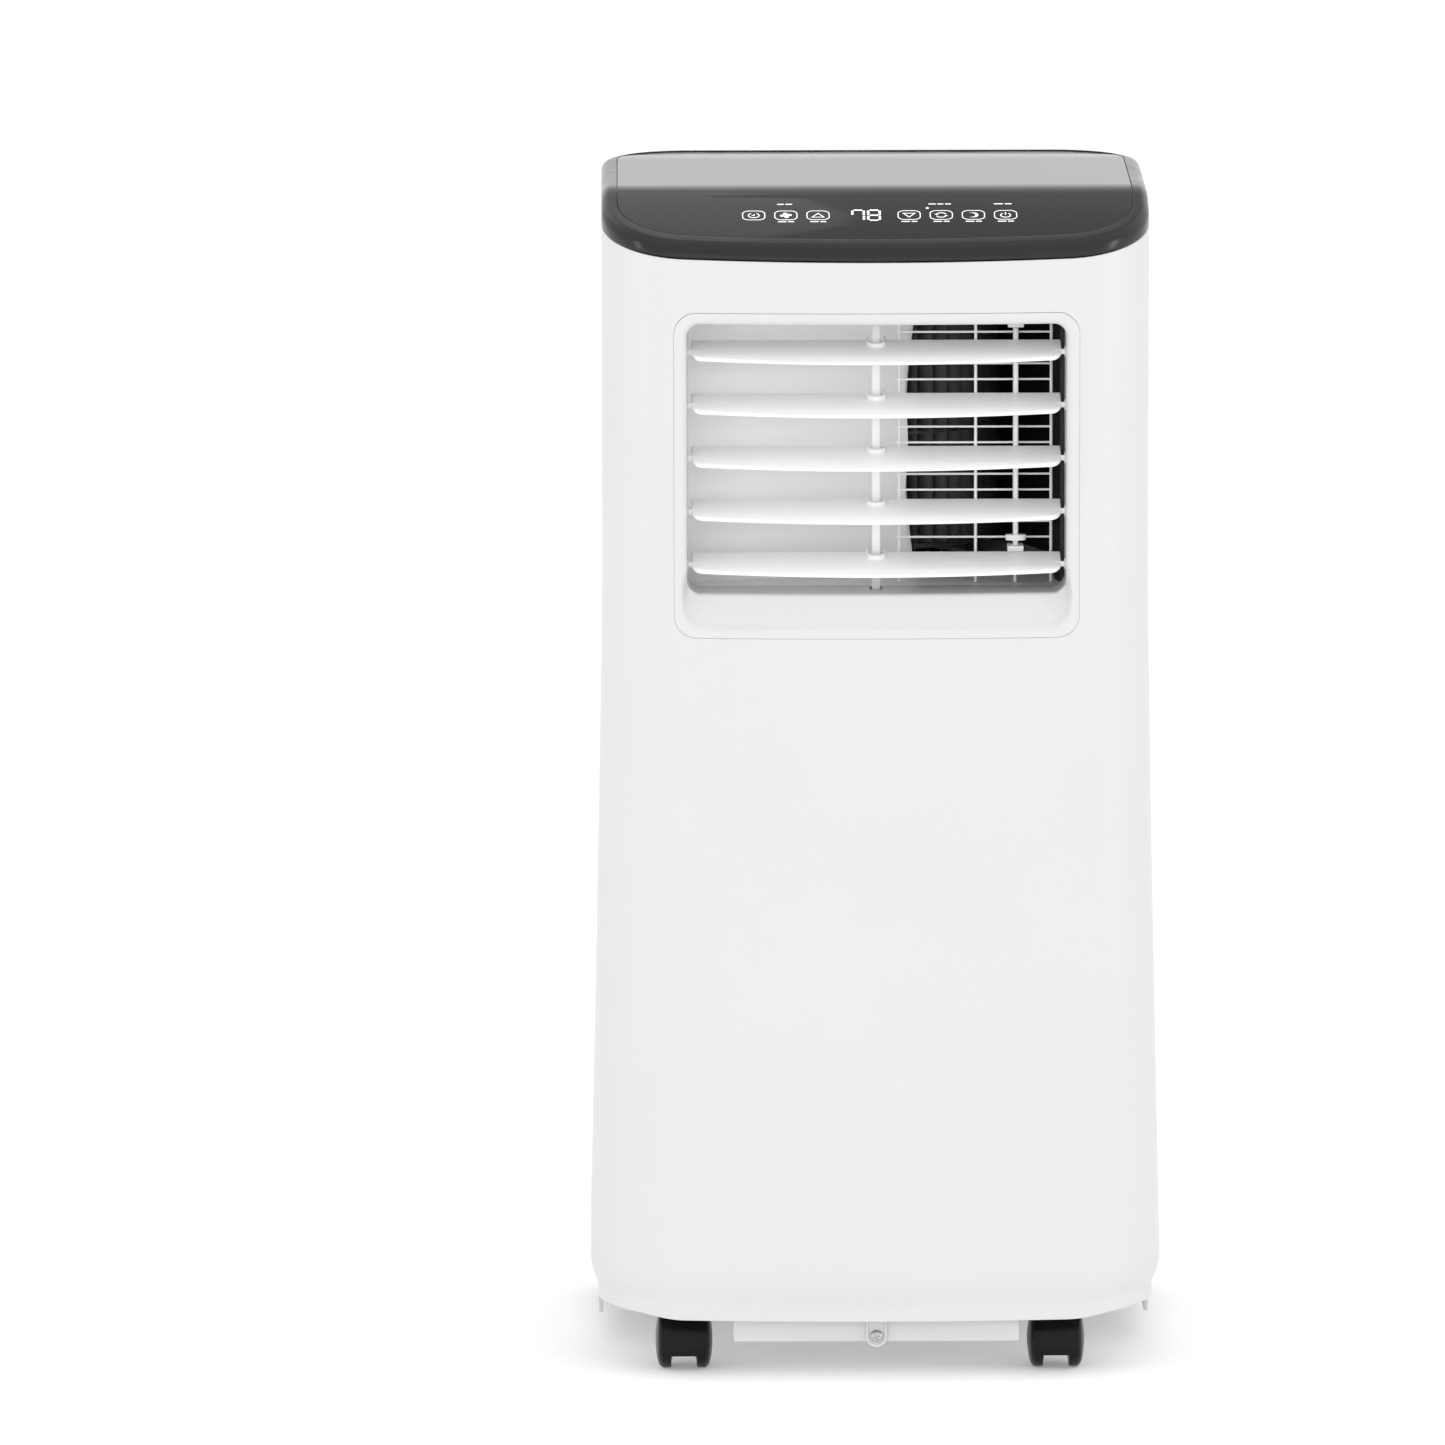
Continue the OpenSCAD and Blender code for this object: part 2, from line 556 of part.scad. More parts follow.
module slinger_wheel() {
    color(white) translate([slinger_x, 96, slinger_z]) rotate([-90, 0, 0]) difference() {
        union() {
            cylinder(h = 2, r = 32, $fn = 96);
            for (a = [0:30:330]) rotate(a) translate([22, -0.8, -5]) cube([10, 1.6, 7]);
            translate([0, 0, -8]) cylinder(h = 10, r = 6, $fn = round_fn);
        }
        translate([0, 0, -10]) cylinder(h = 14, r = 2 + run_fit, $fn = round_fn);
    }
}
module slinger_motor() {
    color(steel) union() {
        y_cylinder(slinger_x, 40, slinger_z, 20, 34);
        y_cylinder(slinger_x, 73, slinger_z, 2, 24);
        box(slinger_x - 14, 44, base_floor, slinger_x + 14, 70, slinger_z - 10);
    }
}

// ---- electrics -------------------------------------------------------------------------------
module control_box() {
    color(steel) union() {
        difference() {
            box(40, -118, 90, 134, -62, 250);
            box(41.5, -119, 91.5, 132.5, -63.5, 248.5);
        }
        for (x = [44, 126]) box(x, -100, base_floor, x + 4, -80, 90.5);
    }
}
module control_board() {
    color("#2f6b3c") union() {
        box(46, -68, 96, 128, -66.4, 188);
        box(60, -80, 110, 84, -67, 128);
        box(92, -86, 140, 116, -67, 164);
        for (z = [104, 174]) box(52, -76, z, 62, -67, z + 8);
    }
}
module run_capacitor() {
    color(steel) union() {
        translate([86, -92, 192]) cylinder(h = 48, r = 19, $fn = round_fn);
        for (x = [80, 92]) box(x - 3, -92.5, 239, x + 3, -91.5, 247);
    }
}

// ---- cap -------------------------------------------------------------------------------------
function sloped(offset_z, y0, y1) = [[y0, top_z(y0) + offset_z], [crease_y, cabinet_h + offset_z],
    [y1, cabinet_h + offset_z]];
module cap_slab(low, high) {
    side_prism(2 * cabinet_w) polygon(concat(sloped(high, front_y - 5, back_y),
        reversed(sloped(low, front_y - 5, back_y))));
}
module cap_band() {
    side_prism(2 * cabinet_w) polygon(concat(sloped(0, front_y - 5, back_y),
        [[back_y, cap_seam_z], [crease_y, cap_seam_z], [front_y - 5, seam_z(front_y - 5)]]));
}
panel_inset = 8.5;
panel_t = 2;
module cap_plan(inset) {
    polygon(full_line(waist_w, front_y, cap_back_y, inset, cap_corner_r));
}
module panel_plan(inset) {
    translate([0, 2.5]) polygon(full_line(waist_w, front_y, cap_back_y - 1, panel_inset + inset, cap_corner_r));
}
module top_rim() {
    color(dark_grey) difference() {
        intersection() {
            cap_band();
            linear_extrude(cabinet_h + 10) cap_plan(0);
        }
        intersection() {
            cap_slab(-panel_t, 30);
            linear_extrude(cabinet_h + 40) panel_plan(0);
        }
        intersection() {
            cap_slab(-60, -5);
            linear_extrude(cabinet_h + 10) cap_plan(3);
        }
        box(-100, -112, 600, 100, -82, cabinet_h);
    }
}
module control_panel() {
    color("#3c3c3e") intersection() {
        cap_slab(-panel_t, -0.2);
        linear_extrude(cabinet_h + 10) panel_plan(0.15);
    }
}
module display_board() {
    color("#2f6b3c") translate([0, -97, top_z(-97) - panel_t]) rotate([panel_slope, 0, 0]) union() {
        translate([-96, -10, -6.6]) cube([192, 20, 1.6]);
        translate([-14, -6, -5.1]) cube([18, 12, 4]);
        for (x = [-66:17.4:-30]) translate([x, 0, -5.1]) cylinder(h = 4, r = 4, $fn = round_fn);
        for (x = [18:17.4:72]) translate([x, 0, -5.1]) cylinder(h = 4, r = 4, $fn = round_fn);
    }
}

// ---- rear shell and what is set in it --------------------------------------------------------
upper_intake = [-112, 396, 112, 512];    // x0, z0, x1, z1
lower_intake = [-112, 74, 112, 206];
grip_z = 500;
grip_y = 56;
plug_x = -95;
gland_x = -98;
gland_z = 284;
screw_spots = [for (side = [-1, 1]) each [[side * 116.5, 140], [side * 104, 228], [side * 104, 350],
    [side * 116.5, 454]]];
module intake_hole(v, grow) {
    face_prism(back_y - 12, 20) rounded_rect(v[0] - grow, v[1] - grow, v[2] + grow, v[3] + grow, 8 + grow);
}
side_panel_y = 103;    // where the side panels meet the back of the shell
module rear_wall(x0, y0, x1, y1) {
    levels = [skirt_z, tuck_z, 46, 51, 56, widest_z, 90, 160, 240, 330, waist_z, shoulder_z, 548, 576, 606, cap_seam_z];
    intersection() {
        lofted_wall([for (z = levels) at_level(rear_wall_line(z), z)]);
        box(x0, y0, 0, x1, y1, cabinet_h);
    }
}
module rear_shell() {
    color(white) difference() {
        rear_wall(-cabinet_w, side_panel_y, cabinet_w, cabinet_d);
        intake_hole(upper_intake, small_gap);
        intake_hole(lower_intake, small_gap);
        y_cylinder(collar_x, back_y - 8, collar_z, collar_r + 3 + small_gap, 12);
        for (z = [tray_z + 9, 56]) y_cylinder(plug_x, back_y - 8, z, 9.4, 12);
        for (p = screw_spots) {
            y_cylinder(p[0], back_y - 8, p[1], 1.7, 12);
            y_cylinder(p[0], back_y - 2.1, p[1], 3.6, 4);
        }
        y_cylinder(gland_x, back_y - 8, gland_z, 7.8, 12);
    }
}
module side_panel(side) {
    color(white) difference() {
        rear_wall(side < 0 ? -cabinet_w : 0, -cabinet_d, side < 0 ? 0 : cabinet_w, side_panel_y);
        translate([side * waist_w, 0, 0]) box(-10, grip_y - 45, grip_z - 17, 10, grip_y + 45, grip_z + 17);
    }
}
module side_panel_left() { side_panel(-1); }
module side_panel_right() { side_panel(1); }
module intake_grille(v) {
    bars = floor((v[3] - v[1] - 16) / 9);
    difference() {
        face_prism(back_y - 9, 8.6) rounded_rect(v[0], v[1], v[2], v[3], 8);
        face_prism(back_y - 10, 6.6) rounded_rect(v[0] + 3, v[1] + 3, v[2] - 3, v[3] - 3, 6);
        for (x = [0:2], k = [0:bars - 1]) let (w = (v[2] - v[0] - 20) / 3)
            box(v[0] + 7 + x * (w + 3), back_y - 20, v[1] + 8 + 9 * k, v[0] + 7 + x * (w + 3) + w, back_y + 5,
                v[1] + 13.4 + 9 * k);
    }
}
module upper_grille() { color(white) intake_grille(upper_intake); }
module lower_grille() { color(white) intake_grille(lower_intake); }
// A fine mesh in a thin frame, clipped behind its grille
module filter_panel(v) {
    pitch = 14;
    y = back_y - 8.4;
    difference() {
        face_prism(y, 3) rounded_rect(v[0] + 3.2, v[1] + 3.2, v[2] - 3.2, v[3] - 3.2, 6);
        for (x = [v[0] + 8:pitch:v[2] - 18], z = [v[1] + 8:pitch:v[3] - 18])
            box(x, y - 1, z, x + pitch - 2.5, y + 4, z + pitch - 2.5);
    }
}
module upper_filter() { color(dark_grey) filter_panel(upper_intake); }
module lower_filter() { color(dark_grey) filter_panel(lower_intake); }
module drain_plug(z, depth) {
    color(black) union() {
        y_cylinder(plug_x, back_y - wall + 0.4, z, 9, 2.1);
        y_cylinder(plug_x, back_y - depth, z, 4.6, depth - 1);
        box(plug_x - 1.5, back_y - 1, z - 6, plug_x + 1.5, back_y, z + 6);
    }
}
module upper_drain_plug() { drain_plug(tray_z + 9, 9); }
module lower_drain_plug() { drain_plug(56, 9); }
module grip_cup(side) {
    x = side * waist_w;
    inner = x - side * 24;
    color(white) difference() {
        union() {
            box(min(x - side * wall, inner), grip_y - 44.6, grip_z - 16.6, max(x - side * wall, inner),
                grip_y + 44.6, grip_z + 16.6);
            box(min(x - side * 0.4, x - side * 3), grip_y - 44.6, grip_z - 16.6,
                max(x - side * 0.4, x - side * 3), grip_y + 44.6, grip_z + 16.6);
        }
        box(min(x + side * 2, inner + side * 2.2), grip_y - 42, grip_z - 14, max(x + side * 2, inner + side * 2.2),
            grip_y + 42, grip_z + 14);
    }
}
module handle_left() { grip_cup(-1); }
module handle_right() { grip_cup(1); }
module cord_gland() {
    color(black) difference() {
        union() {
            y_cylinder(gland_x, back_y - wall - 5, gland_z, 7.5, wall + 4.6);
            y_cylinder(gland_x, back_y - wall - 5, gland_z, 10, 4.8);
        }
        y_cylinder(gland_x, back_y - 20, gland_z, 4, 30);
    }
}

// ---- base and casters ------------------------------------------------------------------------
caster_left_x = -105;
caster_right_x = 98.5;
caster_front_y = front_y + 46;   // swivel axes
caster_rear_y = back_y - 46;
caster_trail = 8;                // from the swivel axis forward to the axle
stem_r = 4;
caster_spots = [[caster_left_x, caster_front_y], [caster_right_x, caster_front_y],
    [caster_left_x, caster_rear_y], [caster_right_x, caster_rear_y]];
module base_pan() {
    hw = half_w(skirt_z);
    outer = full_line(hw, front_y + tuck, back_y - tuck + 1, 5);
    inner = full_line(hw, front_y + tuck, back_y - tuck + 1, 7.5);
    color(white) difference() {
        union() {
            difference() {
                translate([0, 0, 33]) linear_extrude(29) polygon(outer);
                translate([0, 0, base_floor]) linear_extrude(29) polygon(inner);
                translate([0, 0, 30]) linear_extrude(10) polygon(inner);
            }
            for (p = caster_spots) translate([p[0], p[1], 39]) cylinder(h = 23, r = 10, $fn = round_fn);
            box(-78.5, front_y + 18, 17.6, 78.5, front_y + 24, 41);
            intersection() {
                box(-5.8, front_y + 15, 15.4, 5.8, front_y + 19, 34);
                union() {
                    y_cylinder(0, front_y + 14, 21.2, 5.8, 6);
                    box(-5.8, front_y + 14, 21.2, 5.8, front_y + 20, 36);
                }
            }
        }
        for (p = caster_spots) translate([p[0], p[1], 38]) cylinder(h = 25, r = 6, $fn = round_fn);
        y_cylinder(0, front_y + 13, 21.5, 1.65, 12);
        y_cylinder(plug_x, back_y - 14, 56, 5, 14);
    }
}
module caster_sockets() {
    color(steel) for (p = caster_spots) translate([p[0], p[1], 39]) difference() {
        cylinder(h = 23, r = 6, $fn = round_fn);
        translate([0, 0, -1]) cylinder(h = 25, r = stem_r + run_fit, $fn = round_fn);
    }
}
hood_r = wheel_r + 1.4;
module caster_hood(p) {
    top = 61;
    rim = 38.6;
    color(black) translate([p[0], p[1], 0]) difference() {
        union() {
            x_cylinder(-12.6, -caster_trail, wheel_r, hood_r, 25.2);
            translate([0, 0, wheel_r]) cylinder(h = rim - wheel_r, r = 8, $fn = round_fn);
            translate([0, 0, rim - 1]) cylinder(h = top - rim + 1, r = stem_r, $fn = round_fn);
        }
        for (side = [-1, 1]) x_cylinder(side > 0 ? 5.6 : -20, -caster_trail, wheel_r, wheel_r + 0.5, 14.4);
        box(-20, -40, -5, 20, 30, 9);
        x_cylinder(-20, -caster_trail, wheel_r, 2 + run_fit, 40);
    }
}
// Two domed wheels on one axle
module caster_wheels(p) {
    color(black) translate([p[0], p[1] - caster_trail, wheel_r]) union() {
        for (side = [-1, 1]) rotate([0, side * 90, 0]) rotate_extrude($fn = 96)
            polygon(concat([[0, 6], [wheel_r - 0.8, 6], [wheel_r, 6.8], [wheel_r, 12.2]],
                [for (a = [10:16:90]) [(wheel_r - 0.2) * cos(a), 12.2 + 3.4 * sin(a)]]));
        x_cylinder(-7, 0, 0, 2, 14);
    }
}

// ---- fasteners -------------------------------------------------------------------------------
module screw(length) {
    difference() {
        union() {
            cylinder(h = 2, r1 = 3.4, r2 = 2.6, $fn = round_fn);
            translate([0, 0, -length]) cylinder(h = length + 0.5, r = 1.6, $fn = round_fn);
        }
        for (a = [0, 90]) rotate(a) translate([-1.9, -0.35, 1]) cube([3.8, 0.7, 2]);
    }
}
module case_screws() {
    color(steel) union() {
        translate([0, front_y + 15, 21.5]) rotate([90, 0, 0]) screw(8);
        for (p = screw_spots) translate([p[0], back_y - 2, p[1]]) rotate([-90, 0, 0]) screw(5);
    }
}

front_shell();
rear_shell();
side_panel_left();
side_panel_right();
base_pan();
top_rim();
control_panel();
display_board();
outlet_frame();
louver(1);  // louver_1
louver(2);  // louver_2
louver(3);  // louver_3
louver(4);  // louver_4
louver(5);  // louver_5
louver_link();
guide_vane();
finger_guard();
duct_housing();
blower_wheel();
blower_motor();
drip_tray();
evaporator_fins();
evaporator_tubes();
condenser_fins();
condenser_tubes();
condenser_scroll();
condenser_wheel();
condenser_motor();
exhaust_duct();
exhaust_collar();
compressor();
compressor_feet();
accumulator();
refrigerant_pipes();
capillary_tube();
slinger_motor();
slinger_wheel();
control_box();
control_board();
run_capacitor();
upper_grille();
upper_filter();
lower_grille();
lower_filter();
upper_drain_plug();
lower_drain_plug();
handle_left();
handle_right();
cord_gland();
case_screws();
caster_sockets();
caster_hood(caster_spots[0]);  // caster_hood_fl
caster_wheels(caster_spots[0]);  // caster_wheels_fl
caster_hood(caster_spots[1]);  // caster_hood_fr
caster_wheels(caster_spots[1]);  // caster_wheels_fr
caster_hood(caster_spots[2]);  // caster_hood_rl
caster_wheels(caster_spots[2]);  // caster_wheels_rl
caster_hood(caster_spots[3]);  // caster_hood_rr
caster_wheels(caster_spots[3]);  // caster_wheels_rr
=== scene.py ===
"""Looks of the portable air conditioner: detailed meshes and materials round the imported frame."""
import json
from math import asin, copysign, cos, hypot, pi, radians, sin, sqrt, tan

import bmesh
import bpy
from mathutils import Euler, Matrix, Vector
from mathutils.geometry import tessellate_polygon


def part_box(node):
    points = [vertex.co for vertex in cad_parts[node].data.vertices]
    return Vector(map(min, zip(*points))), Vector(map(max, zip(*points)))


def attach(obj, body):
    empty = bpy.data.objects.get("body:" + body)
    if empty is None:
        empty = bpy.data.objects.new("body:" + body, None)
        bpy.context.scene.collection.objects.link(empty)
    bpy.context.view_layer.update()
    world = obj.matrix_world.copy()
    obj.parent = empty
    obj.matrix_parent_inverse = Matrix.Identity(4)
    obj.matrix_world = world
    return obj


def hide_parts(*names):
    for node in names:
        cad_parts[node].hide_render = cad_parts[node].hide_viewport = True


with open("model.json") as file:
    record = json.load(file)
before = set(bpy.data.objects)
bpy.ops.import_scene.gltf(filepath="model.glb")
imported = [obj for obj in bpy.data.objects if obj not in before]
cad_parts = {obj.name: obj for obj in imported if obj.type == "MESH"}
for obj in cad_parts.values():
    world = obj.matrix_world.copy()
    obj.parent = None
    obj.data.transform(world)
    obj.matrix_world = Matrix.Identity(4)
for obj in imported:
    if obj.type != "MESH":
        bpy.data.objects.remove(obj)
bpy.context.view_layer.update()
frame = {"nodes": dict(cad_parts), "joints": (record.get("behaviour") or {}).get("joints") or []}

MM = 0.001
SIDES = (-1, 1)
CASTERS = ("fl", "fr", "rl", "rr")


# ---- sizes in millimetres, read from the frame -------------------------------------------------
def box_mm(node):
    low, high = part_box(node)
    return low / MM, high / MM


def joint_at(name):
    joint = next(j for j in frame["joints"] if j["name"] == name)
    return Vector(joint["pos_m"]) / MM


front_low, front_high = box_mm("front_shell")
rear_low, rear_high = box_mm("rear_shell")
rim_low, rim_high = box_mm("top_rim")
bezel_low, bezel_high = box_mm("outlet_frame")

FRONT_Y = front_low.y
BACK_Y = rear_high.y
TOP_Z = rim_high.z
WAIST_W = rim_high.x          # half width of the upright part
SIDE_FLARE = rear_high.x - WAIST_W
SKIRT_Z = rear_low.z
FRONT_EDGE_Z = front_low.z
JOIN_Y = front_high.y         # seam between the front and rear shells
CAP_BACK_Y = rim_high.y
CAP_SEAM_Z = TOP_Z - 12
CREASE_Y = FRONT_Y + 75
CREASE_SOFT = 10              # half width of the bend at the crease
PANEL_SLOPE = tan(radians(17.7))
SEAM_SLOPE = tan(radians(14.9))
WAIST_Z = 440
WIDEST_Z = 61
TUCK_Z = 41.5                 # the sides are upright again below this level
TUCK = 4.2
SHOULDER_Z = 520
BOW_R = 1000
FRONT_R = 50
REAR_R = 36
CAP_R = 48
WALL = 2.5
SEAM_GAP = 0.25               # half of the visible seam between two shells
SIDE_PANEL_Y = box_mm("side_panel_left")[1].y


# ---- outline of the cabinet, as in the frame ---------------------------------------------------
def steps(start, end, count):
    """count equal steps from start to end, both ends included."""
    return [start + (end - start) * i / count for i in range(count + 1)]


def full_turn(count):
    """count angles spread evenly over a full turn."""
    return steps(0, 2 * pi, count)[:-1]


def arc_points(cx, cy, r, a0, a1, count=20):
    """Points on a circle from one angle to another, in degrees."""
    return [(cx + r * cos(radians(a)), cy + r * sin(radians(a))) for a in steps(a0, a1, count)]


def circle(cx, cz, r, count=64):
    return [(cx + r * cos(a), cz + r * sin(a)) for a in full_turn(count)]


def smooth(t):
    t = min(max(t, 0.0), 1.0)
    return t * t * (3 - 2 * t)


def tuck_in(z):
    return 0 if z > WIDEST_Z else TUCK * min(1.0, (WIDEST_Z - z) / (WIDEST_Z - TUCK_Z)) ** 2


def half_w(z):
    if z > WAIST_Z:
        return WAIST_W
    if z > WIDEST_Z:
        return WAIST_W + SIDE_FLARE * ((WAIST_Z - z) / (WAIST_Z - WIDEST_Z)) ** 1.25
    return WAIST_W + SIDE_FLARE - tuck_in(z)


def shoulder(z):
    return max(0.0, (z - SHOULDER_Z) / (CAP_SEAM_Z - SHOULDER_Z))


def back_at(z):
    return BACK_Y - (BACK_Y - CAP_BACK_Y) * shoulder(z) ** 1.6


def rear_r(z):
    return REAR_R + (CAP_R - REAR_R) * shoulder(z)


def crease_drop(y):
    """Distance in front of the crease, with the bend rounded off."""
    d = CREASE_Y - y
    if abs(d) < CREASE_SOFT:
        return (d + CREASE_SOFT) ** 2 / (4 * CREASE_SOFT)
    return max(d, 0.0)


def top_z(y):
    return TOP_Z - PANEL_SLOPE * crease_drop(y)


def seam_z(y):
    return CAP_SEAM_Z - SEAM_SLOPE * crease_drop(y)


def corner_y(hw):
    """How far the middle of a front corner's arc lies behind the front."""
    return BOW_R - sqrt((BOW_R - FRONT_R) ** 2 - (hw - FRONT_R) ** 2)


def bow_end(hw):
    return asin((hw - FRONT_R) / (BOW_R - FRONT_R))


def face_y(x, z=WAIST_Z):
    """The casing's front face at x: the bow, then the start of a corner."""
    hw = half_w(z)
    front = FRONT_Y + tuck_in(z)
    if abs(x) <= BOW_R * sin(bow_end(hw)):
        return front + BOW_R - sqrt(BOW_R ** 2 - x ** 2)
    return front + corner_y(hw) - sqrt(FRONT_R ** 2 - (abs(x) - hw + FRONT_R) ** 2)


def plan(hw, front, back, inset, r):
    """The whole outline seen from above, counter-clockwise from the front left."""
    start = bow_end(hw)
    bow = [((BOW_R - inset) * sin(a), front + BOW_R - (BOW_R - inset) * cos(a))
           for a in steps(-start, start, 40)]
    front_arc = [(hw - FRONT_R + (FRONT_R - inset) * sin(a),
                  front + corner_y(hw) - (FRONT_R - inset) * cos(a))
                 for a in steps(start, pi / 2, 18)[1:]]
    side = [(hw - inset, y) for y in steps(front + corner_y(hw), back - r, 44)[1:-1]]
    rear_arc = [(hw - r + (r - inset) * cos(a), back - r + (r - inset) * sin(a))
                for a in steps(0, pi / 2, 18)]
    right = front_arc + side + rear_arc
    return bow + right + [(-x, y) for x, y in reversed(right)]


def rounded_rect(x0, z0, x1, z1, r, arc=8, along=12):
    """Points round a rectangle with round corners, counter-clockwise from the lower left."""
    left, right, low, high = x0 + r, x1 - r, z0 + r, z1 - r
    corners = [((left, low), 180), ((right, low), 270), ((right, high), 0), ((left, high), 90)]
    points = []
    for i, ((cx, cz), first) in enumerate(corners):
        points += arc_points(cx, cz, r, first, first + 90, arc)
        (nx, nz), turn = corners[(i + 1) % 4]
        end = points[-1]
        goal = (nx + r * cos(radians(turn)), nz + r * sin(radians(turn)))
        points += [(end[0] + (goal[0] - end[0]) * t, end[1] + (goal[1] - end[1]) * t)
                   for t in steps(0, 1, along)[1:-1]]
    return points


def outside_by(x, z, x0, z0, x1, z1, r):
    """Distance from a rounded rectangle, negative inside it."""
    dx = abs(x - (x0 + x1) / 2) - (x1 - x0) / 2 + r
    dz = abs(z - (z0 + z1) / 2) - (z1 - z0) / 2 + r
    return hypot(max(dx, 0), max(dz, 0)) + min(max(dx, dz), 0) - r


# ---- mesh building -----------------------------------------------------------------------------
class Form:
    """Points and faces of one piece, in millimetres."""

    def __init__(self):
        self.points = []
        self.faces = []

    def row(self, points):
        start = len(self.points)
        self.points.extend(tuple(p) for p in points)
        return list(range(start, len(self.points)))

    def join(self, a, b, closed=True):
        for i in range(len(a) if closed else len(a) - 1):
            j = (i + 1) % len(a)
            self.faces.append((a[i], a[j], b[j], b[i]))

    def loft(self, rings, closed=True, ends=False):
        rows = [self.row(r) for r in rings]
        for a, b in zip(rows, rows[1:]):
            self.join(a, b, closed)
        if ends:
            self.faces.append(tuple(reversed(rows[0])))
            self.faces.append(tuple(rows[-1]))
        return rows

    def add(self, other, matrix=Matrix.Identity(4)):
        start = len(self.points)
        self.points.extend(tuple(matrix @ Vector(p)) for p in other.points)
        self.faces.extend(tuple(i + start for i in f) for f in other.faces)
        return self

    def object(self, name):
        mesh = bpy.data.meshes.new(name)
        mesh.from_pydata([Vector(p) * MM for p in self.points], [], self.faces)
        obj = bpy.data.objects.new(name, mesh)
        bpy.context.scene.collection.objects.link(obj)
        return obj


def lathe(profile, count=64):
    """A closed (radius, height) profile turned about Z."""
    form = Form()
    rings = [[(r * cos(a), r * sin(a), h) for a in full_turn(count)] for r, h in profile]
    form.loft(rings, ends=True)
    return form


def ring(profile, count=48):
    """A closed (radius, height) profile turned about Z that leaves the middle open."""
    form = Form()
    rings = [[(r * cos(a), r * sin(a), h) for r, h in profile]
             for a in full_turn(count)]
    rows = [form.row(r) for r in rings]
    for a, b in zip(rows, rows[1:] + rows[:1]):
        form.join(a, b)
    return form


def soft_cylinder(r, length, edge=0.4, count=48):
    """A cylinder along +Z from the origin, with rounded rims."""
    rim = [(r - edge + edge * sin(a), edge - edge * cos(a)) for a in steps(0, pi / 2, 4)]
    return lathe(rim + [(x, length - h) for x, h in reversed(rim)], count)


def soft_box(low, high, edge=0.5, segments=3):
    """A box with every edge rounded."""
    bm = bmesh.new()
    bmesh.ops.create_cube(bm, size=1)
    size = [h - l for l, h in zip(low, high)]
    centre = [(h + l) / 2 for l, h in zip(low, high)]
    for v in bm.verts:
        v.co = Vector(c + p * s for c, p, s in zip(centre, v.co, size))
    bmesh.ops.bevel(bm, geom=bm.edges[:], offset=edge, segments=segments, profile=0.5, affect="EDGES",
                    clamp_overlap=True)
    bm.verts.index_update()
    form = Form()
    form.points = [tuple(v.co) for v in bm.verts]
    form.faces = [tuple(v.index for v in f.verts) for f in bm.faces]
    bm.free()
    return form


def along_x(place, side=1):
    """Turns a form built along +Z to point to the left (-1) or the right (1), at a place."""
    return Matrix.Translation(place) @ Matrix.Rotation(side * pi / 2, 4, "Y")


def tube(points, r, count=12):
    """A round rod along a path, with closed ends."""
    path = [Vector(p) for p in points]
    rings = []
    for i, p in enumerate(path):
        along = (path[min(i + 1, len(path) - 1)] - path[max(i - 1, 0)]).normalized()
        side = along.cross(Vector((0, 1, 0.01))).normalized()
        other = side.cross(along)
        rings.append([p + side * (r * cos(a)) + other * (r * sin(a))
                      for a in full_turn(count)])
    form = Form()
    form.loft(rings, ends=True)
    return form


def slab(outlines, low, high, place=lambda x, y, h: (x, y, h)):
    """A flat plate between two heights: the first outline is its edge, the others are holes."""
    form = Form()
    loops = [[Vector((x, y, 0)) for x, y in line] for line in outlines]
    triangles = tessellate_polygon(loops)
    flat = [p for line in outlines for p in line]
    bottom = form.row([place(x, y, low) for x, y in flat])
    top = form.row([place(x, y, high) for x, y in flat])
    form.faces += [tuple(top[i] for i in t) for t in triangles]
    form.faces += [tuple(bottom[i] for i in reversed(t)) for t in triangles]
    start = 0
    for line in outlines:
        n = len(line)
        for i in range(n):
            a, b = start + i, start + (i + 1) % n
            form.faces.append((bottom[a], bottom[b], top[b], top[a]))
        start += n
    return form


def modifier(obj, kind, **settings):
    made = obj.modifiers.new(kind.lower(), kind)
    for key, value in settings.items():
        setattr(made, key, value)
    return made


def bake(obj):
    """Applies an object's modifiers to its mesh."""
    graph = bpy.context.evaluated_depsgraph_get()
    mesh = bpy.data.meshes.new_from_object(obj.evaluated_get(graph))
    obj.modifiers.clear()
    obj.data = mesh
    return obj


def tidy_mesh(obj, outward_from=None, merge=0.0):
    """Makes the faces of a mesh point the same way, away from a point if one is given."""
    bm = bmesh.new()
    bm.from_mesh(obj.data)
    if merge:
        bmesh.ops.remove_doubles(bm, verts=bm.verts, dist=merge * MM)
    bmesh.ops.recalc_face_normals(bm, faces=bm.faces)
    if outward_from is not None:
        centre = Vector(outward_from) * MM
        facing = sum(f.normal.dot(f.calc_center_median() - centre) * f.calc_area() for f in bm.faces)
        if facing < 0:
            bmesh.ops.reverse_faces(bm, faces=bm.faces)
    bm.to_mesh(obj.data)
    bm.free()
    return obj


def thicken(obj, thickness, edge=0.0, angle=50):
    """Gives an outer skin its thickness on the inside, and rounds its rims."""
    modifier(obj, "SOLIDIFY", thickness=thickness * MM, offset=-1, use_even_offset=True)
    if edge:
        modifier(obj, "BEVEL", width=edge * MM, segments=3, limit_method="ANGLE",
                 angle_limit=radians(angle))
    return bake(obj)


def cut(obj, forms):
    """Cuts closed forms out of an object."""
    cutter_form = Form()
    for form in forms:
        cutter_form.add(form)
    cutter = tidy_mesh(cutter_form.object(obj.name + ".cutter"))
    modifier(obj, "BOOLEAN", object=cutter, operation="DIFFERENCE", solver="EXACT", use_self=True)
    bake(obj)
    bpy.data.objects.remove(cutter)
    return obj


